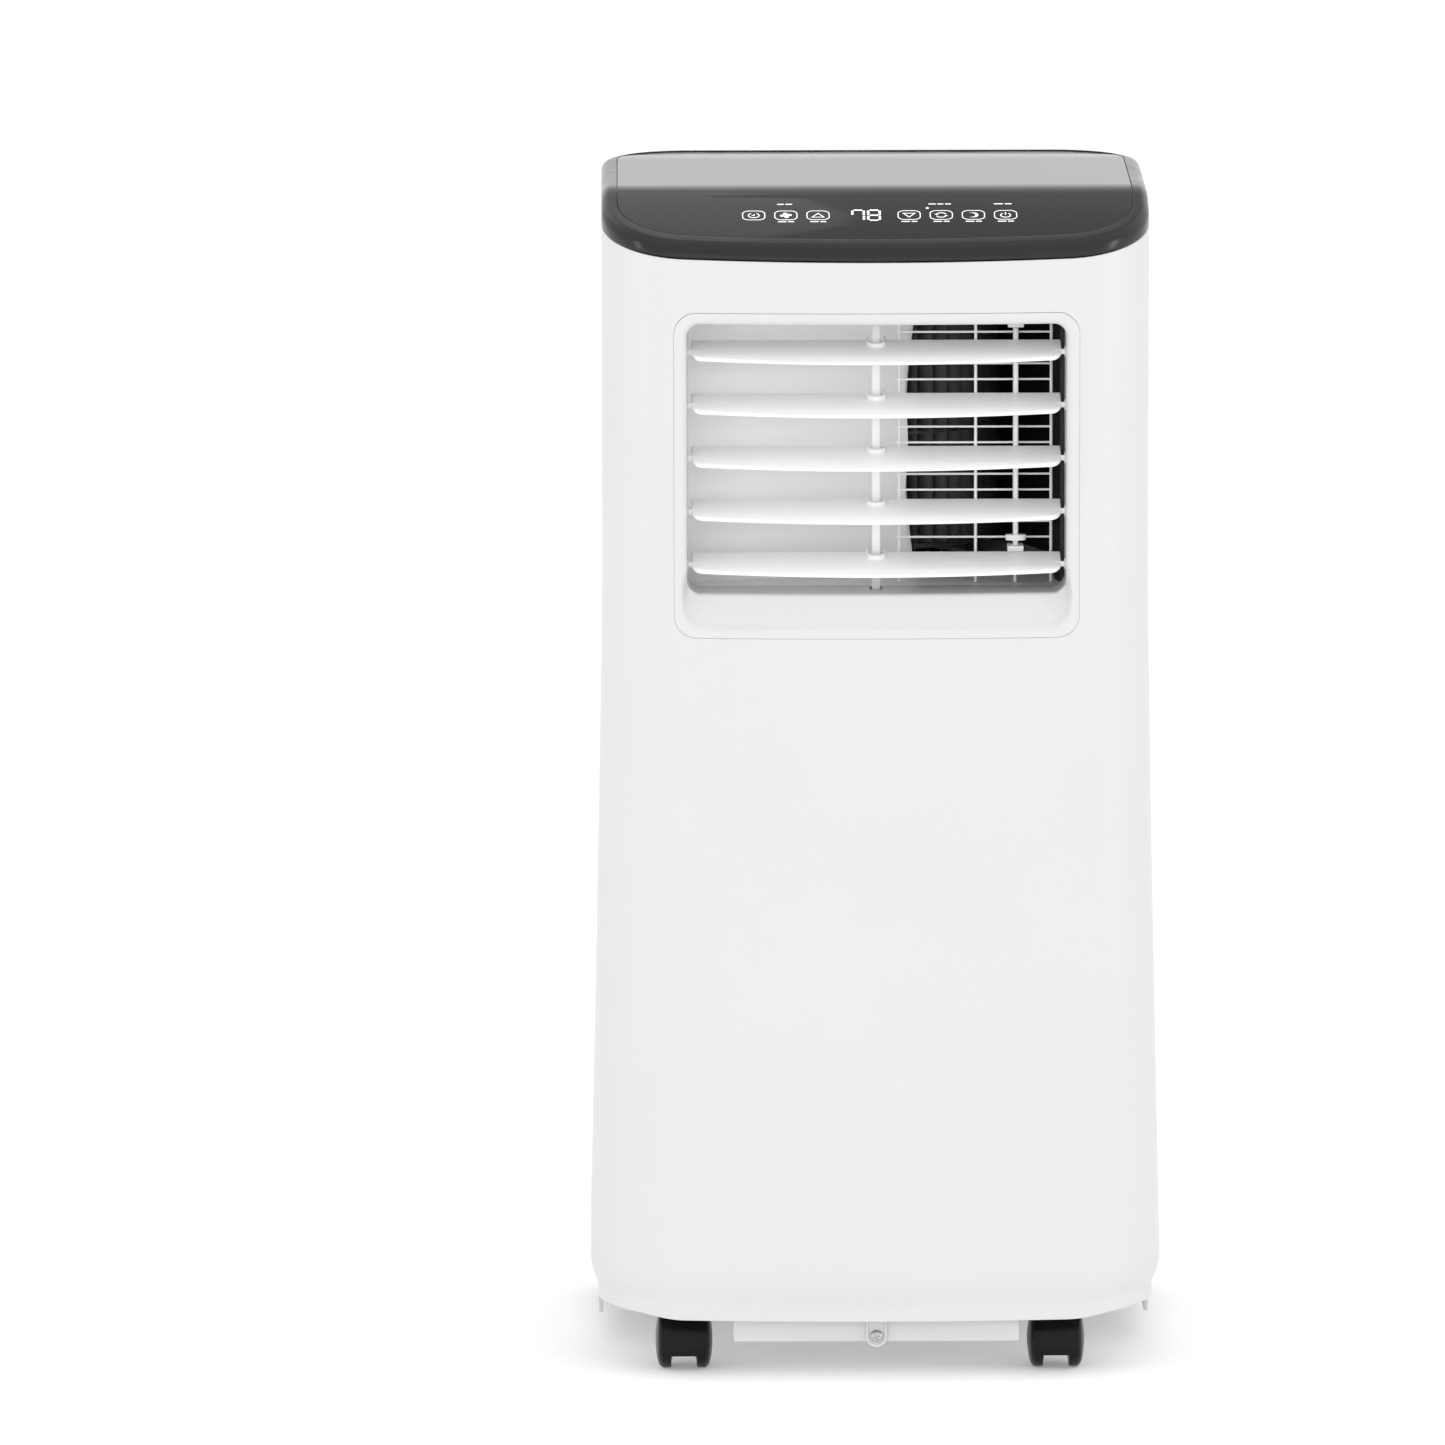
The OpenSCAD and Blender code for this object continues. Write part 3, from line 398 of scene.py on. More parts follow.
def piece(obj, material, body="root", stands_for=(), angle=38):
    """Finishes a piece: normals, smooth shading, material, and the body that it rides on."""
    tidy_mesh(obj)
    obj.data.polygons.foreach_set("use_smooth", [True] * len(obj.data.polygons))
    obj.data.set_sharp_from_angle(angle=radians(angle))
    obj.data.materials.clear()
    obj.data.materials.append(material)
    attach(obj, body)
    if stands_for:
        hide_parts(*stands_for)
    return obj


# ---- materials ---------------------------------------------------------------------------------
def add_node(nodes, kind, **inputs):
    """A new shader node with some of its inputs set."""
    made = nodes.new("ShaderNode" + kind)
    for key, value in inputs.items():
        made.inputs[key.replace("_", " ")].default_value = value
    return made


def rgb(r, g, b):
    return (r, g, b, 1.0)


def grey(value):
    return rgb(value, value, value)


def scaled(colour, factor, lift=0.0):
    """A darker or lighter version of a colour."""
    return rgb(*(min(1.0, c * factor + lift) for c in colour[:3]))


class Shader:
    """A material's node tree, built round one Principled BSDF."""

    def __init__(self, name, **settings):
        self.material = bpy.data.materials.new(name)
        self.material.use_nodes = True
        self.nodes = self.material.node_tree.nodes
        self.links = self.material.node_tree.links
        self.surface = self.nodes["Principled BSDF"]
        for key, value in settings.items():
            self.surface.inputs[key.replace("_", " ")].default_value = value
        self.place = self.nodes.new("ShaderNodeTexCoord").outputs["Object"]

    def noise(self, scale, detail, stretch=(1, 1, 1)):
        mapping = add_node(self.nodes, "Mapping", Scale=stretch)
        self.links.new(self.place, mapping.inputs["Vector"])
        noise = add_node(self.nodes, "TexNoise", Scale=scale, Detail=detail, Roughness=0.55)
        self.links.new(mapping.outputs["Vector"], noise.inputs["Vector"])
        return noise.outputs["Fac"]

    def ramp(self, factor, low, high):
        """Blends between two colours or values as a factor goes from 0.3 to 0.7."""
        ramp = add_node(self.nodes, "ValToRGB")
        for element, position, value in zip(ramp.color_ramp.elements, (0.3, 0.7), (low, high)):
            element.position = position
            element.color = value if isinstance(value, tuple) else grey(value)
        self.links.new(factor, ramp.inputs["Fac"])
        return ramp.outputs["Color"]

    def colour(self, output):
        self.links.new(output, self.surface.inputs["Base Color"])

    def bump(self, height, depth):
        """Raises the surface by up to depth millimetres, on top of the bump made before."""
        bump = add_node(self.nodes, "Bump", Strength=1.0, Distance=depth * MM)
        self.links.new(height, bump.inputs["Height"])
        normal = self.surface.inputs["Normal"]
        if normal.is_linked:
            self.links.new(normal.links[0].from_socket, bump.inputs["Normal"])
        self.links.new(bump.outputs["Normal"], normal)

    def edges(self, radius):
        """Rounds the sharp edges of a CAD node in the shading."""
        bevel = add_node(self.nodes, "Bevel", Radius=radius * MM)
        bevel.samples = 4
        self.links.new(bevel.outputs["Normal"], self.surface.inputs["Normal"])

    def finish(self, colour, rough, relief, stretch=(1, 1, 1)):
        """Noise in the colour, the roughness and the relief.

        Each is its scale and detail, then the two ends that it runs between, or the relief's depth."""
        scale, detail, low, high = colour
        self.colour(self.ramp(self.noise(scale, detail), low, high))
        scale, detail, low, high = rough
        uneven = self.ramp(self.noise(scale, detail, stretch), low, high)
        self.links.new(uneven, self.surface.inputs["Roughness"])
        scale, detail, depth = relief
        self.bump(self.noise(scale, detail, stretch), depth)
        return self.material


def moulded(name, colour, rough=0.38, grain=0.012, specular=0.5, shade=0.985):
    """Injection-moulded plastic: a fine spark texture and a barely uneven tone and gloss."""
    shader = Shader(name, Specular_IOR_Level=specular)
    return shader.finish((9, 2, scaled(colour, shade), colour), (60, 4, rough - 0.03, rough + 0.04),
                         (1400, 2, grain))


def brushed(name, colour, rough, stretch):
    """Metal with fine drawn or rolled lines."""
    shader = Shader(name, Metallic=1.0)
    shader.edges(0.3)
    return shader.finish((30, 5, scaled(colour, 0.8), colour), (400, 4, rough - 0.08, rough + 0.1),
                         (900, 3, 0.01), stretch)


def painted(name, colour):
    """Sprayed paint on metal, with a slight orange peel."""
    shader = Shader(name)
    shader.edges(0.5)
    return shader.finish((14, 3, colour, scaled(colour, 1.5, 0.004)), (90, 3, 0.4, 0.53), (300, 2, 0.03))


def gloss_panel():
    """High-gloss dark panel, with hardly any waviness."""
    shader = Shader("panel_gloss", Specular_IOR_Level=0.46)
    return shader.finish((6, 2, rgb(0.0062, 0.0064, 0.0072), rgb(0.0072, 0.0074, 0.0082)),
                         (25, 3, 0.055, 0.085), (30, 1, 0.002))


def rubber():
    shader = Shader("rubber", Specular_IOR_Level=0.3)
    shader.edges(0.6)
    return shader.finish((120, 4, grey(0.014), grey(0.03)), (200, 3, 0.7, 0.85), (800, 2, 0.03))


def printed():
    """White printed marks, lit softly from behind."""
    shader = Shader("printed_white", Emission_Strength=0.62, Roughness=0.4, Emission_Color=grey(1))
    shader.colour(shader.ramp(shader.noise(500, 2), grey(0.75), grey(0.85)))
    return shader.material


def circuit_board():
    """Solder mask with a grid of tracks under it."""
    shader = Shader("board_green", Roughness=0.35)
    tracks = add_node(shader.nodes, "TexBrick", Scale=220, Color1=rgb(0.008, 0.10, 0.03),
                      Color2=rgb(0.012, 0.15, 0.05), Mortar=rgb(0.006, 0.07, 0.02))
    shader.links.new(shader.place, tracks.inputs["Vector"])
    shader.colour(tracks.outputs["Color"])
    shader.bump(tracks.outputs["Fac"], 0.03)
    return shader.material


def filter_cloth():
    """A woven mesh: fine threads both ways."""
    shader = Shader("filter_mesh", Roughness=0.7)
    for direction in ("X", "Z"):
        wave = add_node(shader.nodes, "TexWave", Scale=260)
        wave.bands_direction = direction
        shader.links.new(shader.place, wave.inputs["Vector"])
        shader.bump(wave.outputs["Fac"], 0.2)
        shader.colour(shader.ramp(wave.outputs["Fac"], rgb(0.02, 0.02, 0.022), rgb(0.09, 0.09, 0.1)))
    return shader.material


WHITE = moulded("casing_white", rgb(0.655, 0.655, 0.652), rough=0.36)
# painted light: a white far brighter than the casing's, standing in for the light that does not reach into
# the outlet; used on the louvers and the guard wires
LOUVER_WHITE = moulded("louver_white", grey(0.95), rough=0.33, grain=0.006)
# painted light: lighter than the casing's white, standing in for the light that does not reach into the duct;
# also used on the link, brackets, vane, hose collar and drip tray
DUCT_GREY = moulded("duct_grey", grey(0.88), rough=0.45)
CAP_GREY = moulded("cap_grey", rgb(0.0055, 0.0055, 0.006), rough=0.19, grain=0.003, specular=0.47, shade=0.9)
NYLON = moulded("black_nylon", rgb(0.012, 0.012, 0.0125), rough=0.5, grain=0.02, shade=0.8)
WHEEL_BLACK = moulded("wheel_charcoal", rgb(0.03, 0.03, 0.031), rough=0.5, grain=0.02, shade=0.8)
# painted shade: the scroll behind the blower is near black, standing in for the shade deep inside the duct
SCROLL_SHADE = moulded("scroll_painted_shade", rgb(0.022, 0.022, 0.023), rough=0.6, grain=0.02, shade=0.8)
CASTER_BLACK = moulded("caster_black", rgb(0.003, 0.003, 0.0032), rough=0.28, grain=0.004, specular=0.22,
                       shade=0.8)
WHITE_INNER = moulded("inner_white", grey(0.78), rough=0.5)
STEEL = brushed("steel", rgb(0.62, 0.63, 0.64), 0.3, (1, 1, 0.05))
COPPER = brushed("copper", rgb(0.80, 0.42, 0.26), 0.25, (1, 0.2, 1))
FINS = brushed("fin_aluminium", rgb(0.78, 0.79, 0.81), 0.35, (0.1, 1, 1))
COMPRESSOR_PAINT = painted("compressor_paint", rgb(0.011, 0.011, 0.012))
PANEL = gloss_panel()
PRINT = printed()
BOARD = circuit_board()
FILTER = filter_cloth()
RUBBER = rubber()


# ---- casing ------------------------------------------------------------------------------------
PATCH_X = 116                 # the front shell's fine mesh round the outlet
PATCH_LOW = bezel_low.z - 7
PATCH_HIGH = bezel_high.z + 7
BEZEL_R = 12
BEZEL_GAP = 0.12
TOP_ROWS_Z = 600              # above this the rows bend towards the sloping seam
ABOVE_TUCK_Z = 66             # the rows are close together below this


def face_columns():
    fine = steps(PATCH_X - 21, PATCH_X, 14)
    return [-x for x in reversed(fine)] + steps(-fine[0], fine[0], 60)[1:-1] + fine


def front_row(z, columns):
    """The front shell's outer face at one height, from the left seam round to the right seam."""
    hw = half_w(z)
    front = FRONT_Y + tuck_in(z)
    centre_y = front + corner_y(hw)
    first = asin((PATCH_X - hw + FRONT_R) / FRONT_R)
    arc = [(hw - FRONT_R + FRONT_R * sin(a), centre_y - FRONT_R * cos(a))
           for a in steps(first, pi / 2, 18)[1:]]
    right = arc + [(hw, y) for y in steps(centre_y, JOIN_Y - SEAM_GAP, 20)[1:]]
    return [(-x, y) for x, y in reversed(right)] + [(x, face_y(x, z)) for x in columns] + right


def seam_rows(row_at, start_z):
    """Rows from a level height up to the sloping seam under the cap."""
    line = row_at(CAP_SEAM_Z)
    rows = []
    for t in steps(0, 1, 5)[1:]:
        rows.append([(x, y, start_z + (seam_z(y) - SEAM_GAP - start_z) * t) for x, y in line])
    return rows


def corner_rise(x, z):
    """How far the front shell's lower edge curves up towards the sides."""
    return 4.4 * smooth((abs(x) - 104) / 40) * max(0.0, 1 - (z - FRONT_EDGE_Z) / 30)


def front_casing():
    form = Form()
    columns = face_columns()
    low = [FRONT_EDGE_Z + h for h in (0, 1, 2.5, 4.5, 7, 10, 12.5, 15, 18, 21, 24, 27, 30)]
    low += steps(ABOVE_TUCK_Z, PATCH_LOW, 24)
    fine = steps(PATCH_LOW, PATCH_LOW + 21, 14)
    high = steps(PATCH_HIGH - 21, PATCH_HIGH, 14)
    levels = low[:-1] + fine + steps(fine[-1], high[0], 40)[1:-1] + high + [TOP_ROWS_Z]
    rows = [form.row([(x, y, z + corner_rise(x, z)) for x, y in front_row(z, columns)]) for z in levels]
    rows += [form.row(r) for r in seam_rows(lambda z: front_row(z, columns), TOP_ROWS_Z)]
    first_row, last_row = levels.index(fine[0]), levels.index(high[-1])
    first_col = (len(rows[0]) - len(columns)) // 2
    last_col = first_col + len(columns) - 1
    for i in range(len(rows) - 1):
        for j in range(len(rows[0]) - 1):
            if not (first_row <= i < last_row and first_col <= j < last_col):
                form.faces.append((rows[i][j], rows[i][j + 1], rows[i + 1][j + 1], rows[i + 1][j]))
    border = [rows[first_row][j] for j in range(first_col, last_col)]
    border += [rows[i][last_col] for i in range(first_row, last_row)]
    border += [rows[last_row][j] for j in range(last_col, first_col, -1)]
    border += [rows[i][first_col] for i in range(last_row, first_row, -1)]
    hole = [v - BEZEL_GAP for v in bezel_low.xz] + [v + BEZEL_GAP for v in bezel_high.xz]
    previous = border
    for t in (0.5, 1.0):
        line = []
        for index in border:
            x, _, z = form.points[index]
            near_x, near_z = nearest_on(x, z, hole, BEZEL_R)
            x, z = x + (near_x - x) * t, z + (near_z - z) * t
            line.append((x, face_y(x, z), z))
        line = form.row(line)
        form.join(previous, line)
        previous = line
    obj = tidy_mesh(form.object("front_casing"), (0, 0, 330))
    thicken(obj, WALL, edge=0.45)
    return piece(obj, WHITE, stands_for=["front_shell"])


def nearest_on(x, z, rect, r):
    """The nearest point of a rounded rectangle to a point outside it."""
    x0, z0, x1, z1 = rect
    cx = min(max(x, x0 + r), x1 - r)
    cz = min(max(z, z0 + r), z1 - r)
    length = hypot(x - cx, z - cz)
    return cx + (x - cx) * r / length, cz + (z - cz) * r / length


def rear_row(z):
    """The rear shell's outer face at one height, from the right seam round the back to the left seam."""
    hw = half_w(z)
    back = back_at(z) - tuck_in(z)
    r = rear_r(z)
    side = [(hw, y) for y in steps(JOIN_Y + SEAM_GAP, back - r, 24)]
    arc = [(hw - r + r * cos(a), back - r + r * sin(a)) for a in steps(0, pi / 2, 20)[1:]]
    flat = [(x, back) for x in steps(hw - r, 0, 16)[1:]]
    right = side + arc + flat
    return right + [(-x, y) for x, y in reversed(right[:-1])]


GRIP = [box_mm("handle_" + side) for side in ("left", "right")]
UPPER_INTAKE = box_mm("upper_grille")
LOWER_INTAKE = box_mm("lower_grille")
COLLAR = box_mm("exhaust_collar")
PLUGS = [box_mm("upper_drain_plug"), box_mm("lower_drain_plug")]
GLAND = box_mm("cord_gland")
COLLAR_HOLE_R, PLUG_HOLE_R, GLAND_HOLE_R = 67.2, 9.2, 7.7
SCREW_SPOTS = [(side * x, z) for side in SIDES
               for x, z in ((116.5, 140), (104, 228), (104, 350), (116.5, 454))]


def middle(low_high):
    return (low_high[0] + low_high[1]) / 2


def through_back(outline, depth=9):
    """A cutter through the back wall."""
    return slab([outline], BACK_Y - depth, BACK_Y + 4, lambda x, z, y: (x, y, z))


def intake_outline(low_high, grow=0.0):
    low, high = low_high
    return rounded_rect(low.x - grow, low.z - grow, high.x + grow, high.z + grow, max(8 + grow, 1.5))


def side_x(y, z):
    """Half the width of the rear shell at a depth and height."""
    corner = back_at(z) - tuck_in(z) - rear_r(z)
    return half_w(z) - rear_r(z) + sqrt(rear_r(z) ** 2 - max(y - corner, 0.0) ** 2)


def panel_seam(side):
    """A cutter for the shallow seam between a side panel and the back."""
    deep, half = 0.6, 0.22
    form = Form()
    rings = []
    for z in steps(SKIRT_Z - 1, CAP_SEAM_Z - SEAM_GAP + 0.1, 80):
        x = side_x(SIDE_PANEL_Y, max(z, SKIRT_Z))
        rings.append([(side * u, SIDE_PANEL_Y + v, z) for u, v in
                      ((x - deep, -half), (x + 3, -half), (x + 3, half), (x - deep, half))])
    form.loft(rings if side > 0 else rings[::-1], ends=True)
    return form


def rear_casing():
    form = Form()
    low = [SKIRT_Z + h for h in (0, 1, 2.5, 5, 10, 16, 22, 25.5, 29, 33, 37, 41, 45)]
    levels = low + steps(ABOVE_TUCK_Z, SHOULDER_Z, 34) + steps(SHOULDER_Z, TOP_ROWS_Z, 14)[1:]
    rings = [[(x, y, z) for x, y in rear_row(z)] for z in levels]
    rings += [[(x, y, z) for x, y in rear_row(z)] for z in steps(TOP_ROWS_Z, CAP_SEAM_Z - SEAM_GAP, 6)[1:-1]]
    rings.append([(x, y, seam_z(y) - SEAM_GAP) for x, y in rear_row(CAP_SEAM_Z)])
    form.loft(rings, closed=False)
    obj = tidy_mesh(form.object("rear_casing"), (0, 20, 330))
    thicken(obj, WALL, edge=0.45)
    cutters = [through_back(intake_outline(v, 0.25)) for v in (UPPER_INTAKE, LOWER_INTAKE)]
    holes = [(COLLAR, COLLAR_HOLE_R, 128), (GLAND, GLAND_HOLE_R, 64)] + [(p, PLUG_HOLE_R, 64) for p in PLUGS]
    cutters += [through_back(circle(middle(node).x, middle(node).z, r, count)) for node, r, count in holes]
    cutters += [through_back(circle(x, z, 3.5, 32), 2) for x, z in SCREW_SPOTS]
    cutters += [through_back(circle(x, z, 1.7, 24)) for x, z in SCREW_SPOTS]
    cutters += [panel_seam(side) for side in SIDES]
    for low, high in GRIP:
        outline = rounded_rect(low.y - 0.2, low.z - 0.2, high.y + 0.2, high.z + 0.2, 7)
        start = copysign(138, low.x)
        cutters.append(slab([outline], start, start + copysign(16, low.x), lambda y, z, x: (x, y, z)))
    cut(obj, cutters)
    return piece(obj, WHITE, stands_for=["rear_shell", "side_panel_left", "side_panel_right"])


# ---- cap ---------------------------------------------------------------------------------------
PANEL_INSET = 8.5
RIM_ROUND = 5.6               # radius over the rim's outer edge


def rim_ring(inset, height, from_seam=False):
    """One ring of the cap's rim: its inset from the outline and its height from the top or the seam."""
    base = seam_z if from_seam else top_z
    return [(x, y, base(y) + height) for x, y in plan(WAIST_W, FRONT_Y, CAP_BACK_Y, inset, CAP_R)]


def panel_plan(inset):
    """The panel's outline: close to the cap's back edge, and further from its front and sides."""
    return [(x, y + 2.5) for x, y in plan(WAIST_W, FRONT_Y, CAP_BACK_Y + 2.4, PANEL_INSET + inset, CAP_R)]


def cap_rim():
    form = Form()
    rings = [rim_ring(14, -9), rim_ring(14, -2.4)]
    groove = [(0.6, -2.4), (0.0, -2.3), (0.0, -0.45), (-0.12, -0.15), (-0.4, -0.02), (-0.8, 0.0)]
    rings += [[(x, y, top_z(y) + h) for x, y in panel_plan(-0.05 + inset)] for inset, h in groove]
    rings += [rim_ring(RIM_ROUND * (1 - sin(a)), RIM_ROUND * (cos(a) - 1))
              for a in steps(0, radians(84), 10)]
    edge = 0.9
    rings += [rim_ring(edge * (1 - cos(a)), edge * (1 - sin(a)) + SEAM_GAP, True)
              for a in steps(0, pi / 2, 4)]
    rings += [rim_ring(2.6, SEAM_GAP, True), rim_ring(3, 3, True)]
    form.loft(rings)
    obj = form.object("cap_rim")
    return piece(obj, CAP_GREY, stands_for=["top_rim"], angle=50)


PANEL_GAP = 0.25              # groove between the panel and the rim
PANEL_DROP = 0.12             # the panel lies this far below the rim


def gloss_cover():
    """The control panel: one plate that bends at the crease, with a rounded border."""
    round_r = 0.35
    bm = bmesh.new()
    outline = [bm.verts.new((x, y, 0)) for x, y in panel_plan(PANEL_GAP + round_r)]
    bm.faces.new(outline)
    for y in steps(CREASE_Y - CREASE_SOFT, CREASE_Y + CREASE_SOFT, 12):
        bmesh.ops.bisect_plane(bm, geom=bm.verts[:] + bm.edges[:] + bm.faces[:],
                               plane_co=(0, y, 0), plane_no=(0, 1, 0))
    bm.verts.index_update()
    form = Form()
    form.points = [(v.co.x, v.co.y, top_z(v.co.y) - PANEL_DROP) for v in bm.verts]
    form.faces = [tuple(v.index for v in f.verts) for f in bm.faces]
    bm.free()
    border = [(round_r * (1 - cos(a)), -round_r * (1 - sin(a))) for a in steps(0, pi / 2, 4)]
    rings = [[(x, y, top_z(y) - PANEL_DROP + h) for x, y in panel_plan(PANEL_GAP + inset)]
             for inset, h in [(0.0, -1.8)] + border]
    form.loft(rings)
    obj = form.object("gloss_panel")
    tidy_mesh(obj, merge=0.01)
    return piece(obj, PANEL, stands_for=["control_panel"], angle=50)


# ---- marks on the panel ------------------------------------------------------------------------
MARK_Y = -99.8                # middle of the row of touch keys
MARK_T = 0.06
KEY_PITCH = 17.4
KEYS_LEFT = -66
KEYS_RIGHT = 18.1
SLOPE_LENGTH = sqrt(1 + PANEL_SLOPE ** 2)


def on_panel(u, v, h):
    """A point of the sloping panel: u to the right and v up the slope from the row of keys."""
    y = MARK_Y + v / SLOPE_LENGTH
    return u, y, top_z(y) - PANEL_DROP + h + 0.01


def stroke(points, width, closed=False):
    """A printed line of even width along 2D points."""
    path = [Vector(p) for p in points]
    n = len(path)
    left, right = [], []
    for i, p in enumerate(path):
        before = path[i - 1] if closed or i else p
        after = path[(i + 1) % n] if closed or i < n - 1 else p
        d1 = (p - before).normalized() if p != before else (after - p).normalized()
        d2 = (after - p).normalized() if p != after else d1
        across = Vector((-(d1 + d2).y, (d1 + d2).x)).normalized()
        reach = width / 2 / max(0.5, across.dot(Vector((-d1.y, d1.x))))
        left.append(p + across * reach)
        right.append(p - across * reach)
    form = Form()
    for side, order in ((0.0, 1), (MARK_T, -1)):
        a = form.row([on_panel(q.x, q.y, side) for q in left])
        b = form.row([on_panel(q.x, q.y, side) for q in right])
        form.join(*((a, b) if order > 0 else (b, a)), closed=closed)
    return form


def blob(points):
    """A filled printed shape."""
    return slab([[tuple(p) for p in points]], 0.0, MARK_T, on_panel)


def key_border(x):
    return stroke(rounded_rect(x - 6, -5.7, x + 6, 5.7, 3.6, 6, 2), 0.5, closed=True)


def clock_sign(x):
    form = stroke(arc_points(x, 0, 2.9, 120, 420), 0.55)
    return form.add(stroke([(x + 0.2, 1.6), (x + 0.2, -0.2), (x - 1.2, -0.2)], 0.5))


def fan_sign(x):
    form = blob(arc_points(x, 0, 0.7, 0, 342, 19))
    for turn in (0, 90, 180, 270):
        a = radians(turn)
        blade = arc_points(2.0, 0.35, 1.25, -150, 170, 16)
        form.add(blob([(x + p * cos(a) - q * sin(a), p * sin(a) + q * cos(a)) for p, q in blade]))
    return form


def arrow_sign(x, way):
    return stroke([(x - 3.2, -2.4 * way), (x + 3.2, -2.4 * way), (x, 2.6 * way)], 0.55, closed=True)


def cycle_sign(x):
    form = Form()
    for turn in (0, 180):
        form.add(stroke(arc_points(x, 0, 2.8, turn + 25, turn + 150), 0.6))
        a = radians(turn + 158)
        tip = Vector((x + 2.8 * cos(a + 0.35), 2.8 * sin(a + 0.35)))
        out = Vector((cos(a), sin(a)))
        base = Vector((x, 0)) + out * 2.8
        form.add(blob([base + out * 1.2, tip, base - out * 1.2]))
    return form


def moon_sign(x):
    outer = arc_points(x - 0.3, 0, 3.0, -125, 125, 24)
    inner = arc_points(x - 1.6, 0, 2.75, 100, -100, 24)
    return blob(outer + inner)


def power_sign(x):
    form = stroke(arc_points(x, -0.3, 2.7, 125, 415), 0.6)
    return form.add(stroke([(x, 3.3), (x, 0.2)], 0.6))


SEGMENTS = {"a": (0, 1, 1, 1), "b": (1, 1, 1, 0.5), "c": (1, 0.5, 1, 0), "d": (0, 0, 1, 0),
            "e": (0, 0, 0, 0.5), "f": (0, 0.5, 0, 1), "g": (0, 0.5, 1, 0.5)}


def digit(x, lit, width=6.2, height=13.0):
    """One seven-segment digit with its lower left corner at x."""
    form = Form()
    for name in lit:
        u0, v0, u1, v1 = SEGMENTS[name]
        start = Vector((x + u0 * width, (v0 - 0.5) * height))
        end = Vector((x + u1 * width, (v1 - 0.5) * height))
        along = (end - start).normalized()
        form.add(stroke([start + along * 0.75, end - along * 0.75], 1.25))
    return form


def bar_label(x, v, lengths, height=1.0):
    """A generic row of short bars where a label would be."""
    form = Form()
    total = sum(lengths) + 0.9 * (len(lengths) - 1)
    u = x - total / 2
    for length in lengths:
        form.add(blob([(u, v - height / 2), (u + length, v - height / 2), (u + length, v + height / 2),
                       (u, v + height / 2)]))
        u += length + 0.9
    return form


def panel_marks():
    left = [KEYS_LEFT + KEY_PITCH * i for i in range(3)]
    right = [KEYS_RIGHT + KEY_PITCH * i for i in range(4)]
    form = Form()
    for x in left + right:
        form.add(key_border(x))
    signs = [clock_sign(left[0]), fan_sign(left[1]), arrow_sign(left[2], 1), arrow_sign(right[0], -1),
             cycle_sign(right[1]), moon_sign(right[2]), power_sign(right[3])]
    for sign in signs:
        form.add(sign)
    form.add(digit(-12.6, "abcf")).add(digit(-4.0, "abcdefg"))
    for x in left[1:] + right:
        form.add(bar_label(x, -8.2, (4.6, 3.2)))
    for x, lengths in ((left[1] - 0.5, (3.6, 3.6)), (right[1] - 0.6, (4.0, 3.2, 3.2)),
                       (right[3] - 1.2, (5.0, 3.8))):
        form.add(bar_label(x, 14.2, lengths))
    form.add(blob(arc_points(right[1] - 7.4, 8.9, 0.9, 0, 342, 19)))
    return piece(form.object("panel_marks"), PRINT)


# ---- air outlet --------------------------------------------------------------------------------
OPENING = (-102.5, 432, 102.5, 579.5)    # x0, z0, x1, z1 of the clear opening
OPENING_R = 7
LIP_R = 5                     # rounding of the opening's edge
SILL_R = 1.5                  # the same along the sill
SCOOP_Z = 411.5               # the face slopes in from here up to the sill
SCOOP_DEPTH = 9
SCOOP = (-106.3, SCOOP_Z, 106.3, 470)
TUNNEL_BACK = bezel_high.y
LOUVER_Y = joint_at("louver_1_tilt").y
LOUVER_Z = [joint_at(f"louver_{i}_tilt").z for i in range(1, 6)]
LOUVER_HALF = 100
LOUVER_BACK = 17              # half of the chord
LOUVER_T = 2.4
LOUVER_TILT = radians(12)
NOSE_W, NOSE_D = 6.0, 11.0    # the round front corners of a louver: across and front to back
LINK_ARM = 14
NOTCH = 4.1                   # half width of the slot for the link
NOTCH_FRONT = 7.2             # where the slot starts, behind the louver's axis


def scoop_depth(x, z):
    inside = -outside_by(x, z, *SCOOP, 14)
    fall = SCOOP_DEPTH * (z - SCOOP_Z) / (OPENING[1] - SCOOP_Z)
    if z > OPENING[1]:
        fall = SCOOP_DEPTH * smooth(1 - (z - OPENING[1]) / 16)
    return max(fall, 0) * smooth(inside / 5)


def lip_depth(x, z):
    d = max(outside_by(x, z, *OPENING, OPENING_R), 0)
    r = SILL_R + (LIP_R - SILL_R) * smooth((z - OPENING[1]) / 20)
    return 0 if d > r else r - sqrt(max(r ** 2 - (r - d) ** 2, 0))


def bezel_ring(s):
    """A loop of the outlet's face: s is 0 on its outer edge and 1 on the edge of the opening."""
    outer = (bezel_low.x, bezel_low.z, bezel_high.x, bezel_high.z)
    x0, z0, x1, z1 = [a + (b - a) * s for a, b in zip(outer, OPENING)]
    return rounded_rect(x0, z0, x1, z1, BEZEL_R + (OPENING_R - BEZEL_R) * s, arc=12, along=36)


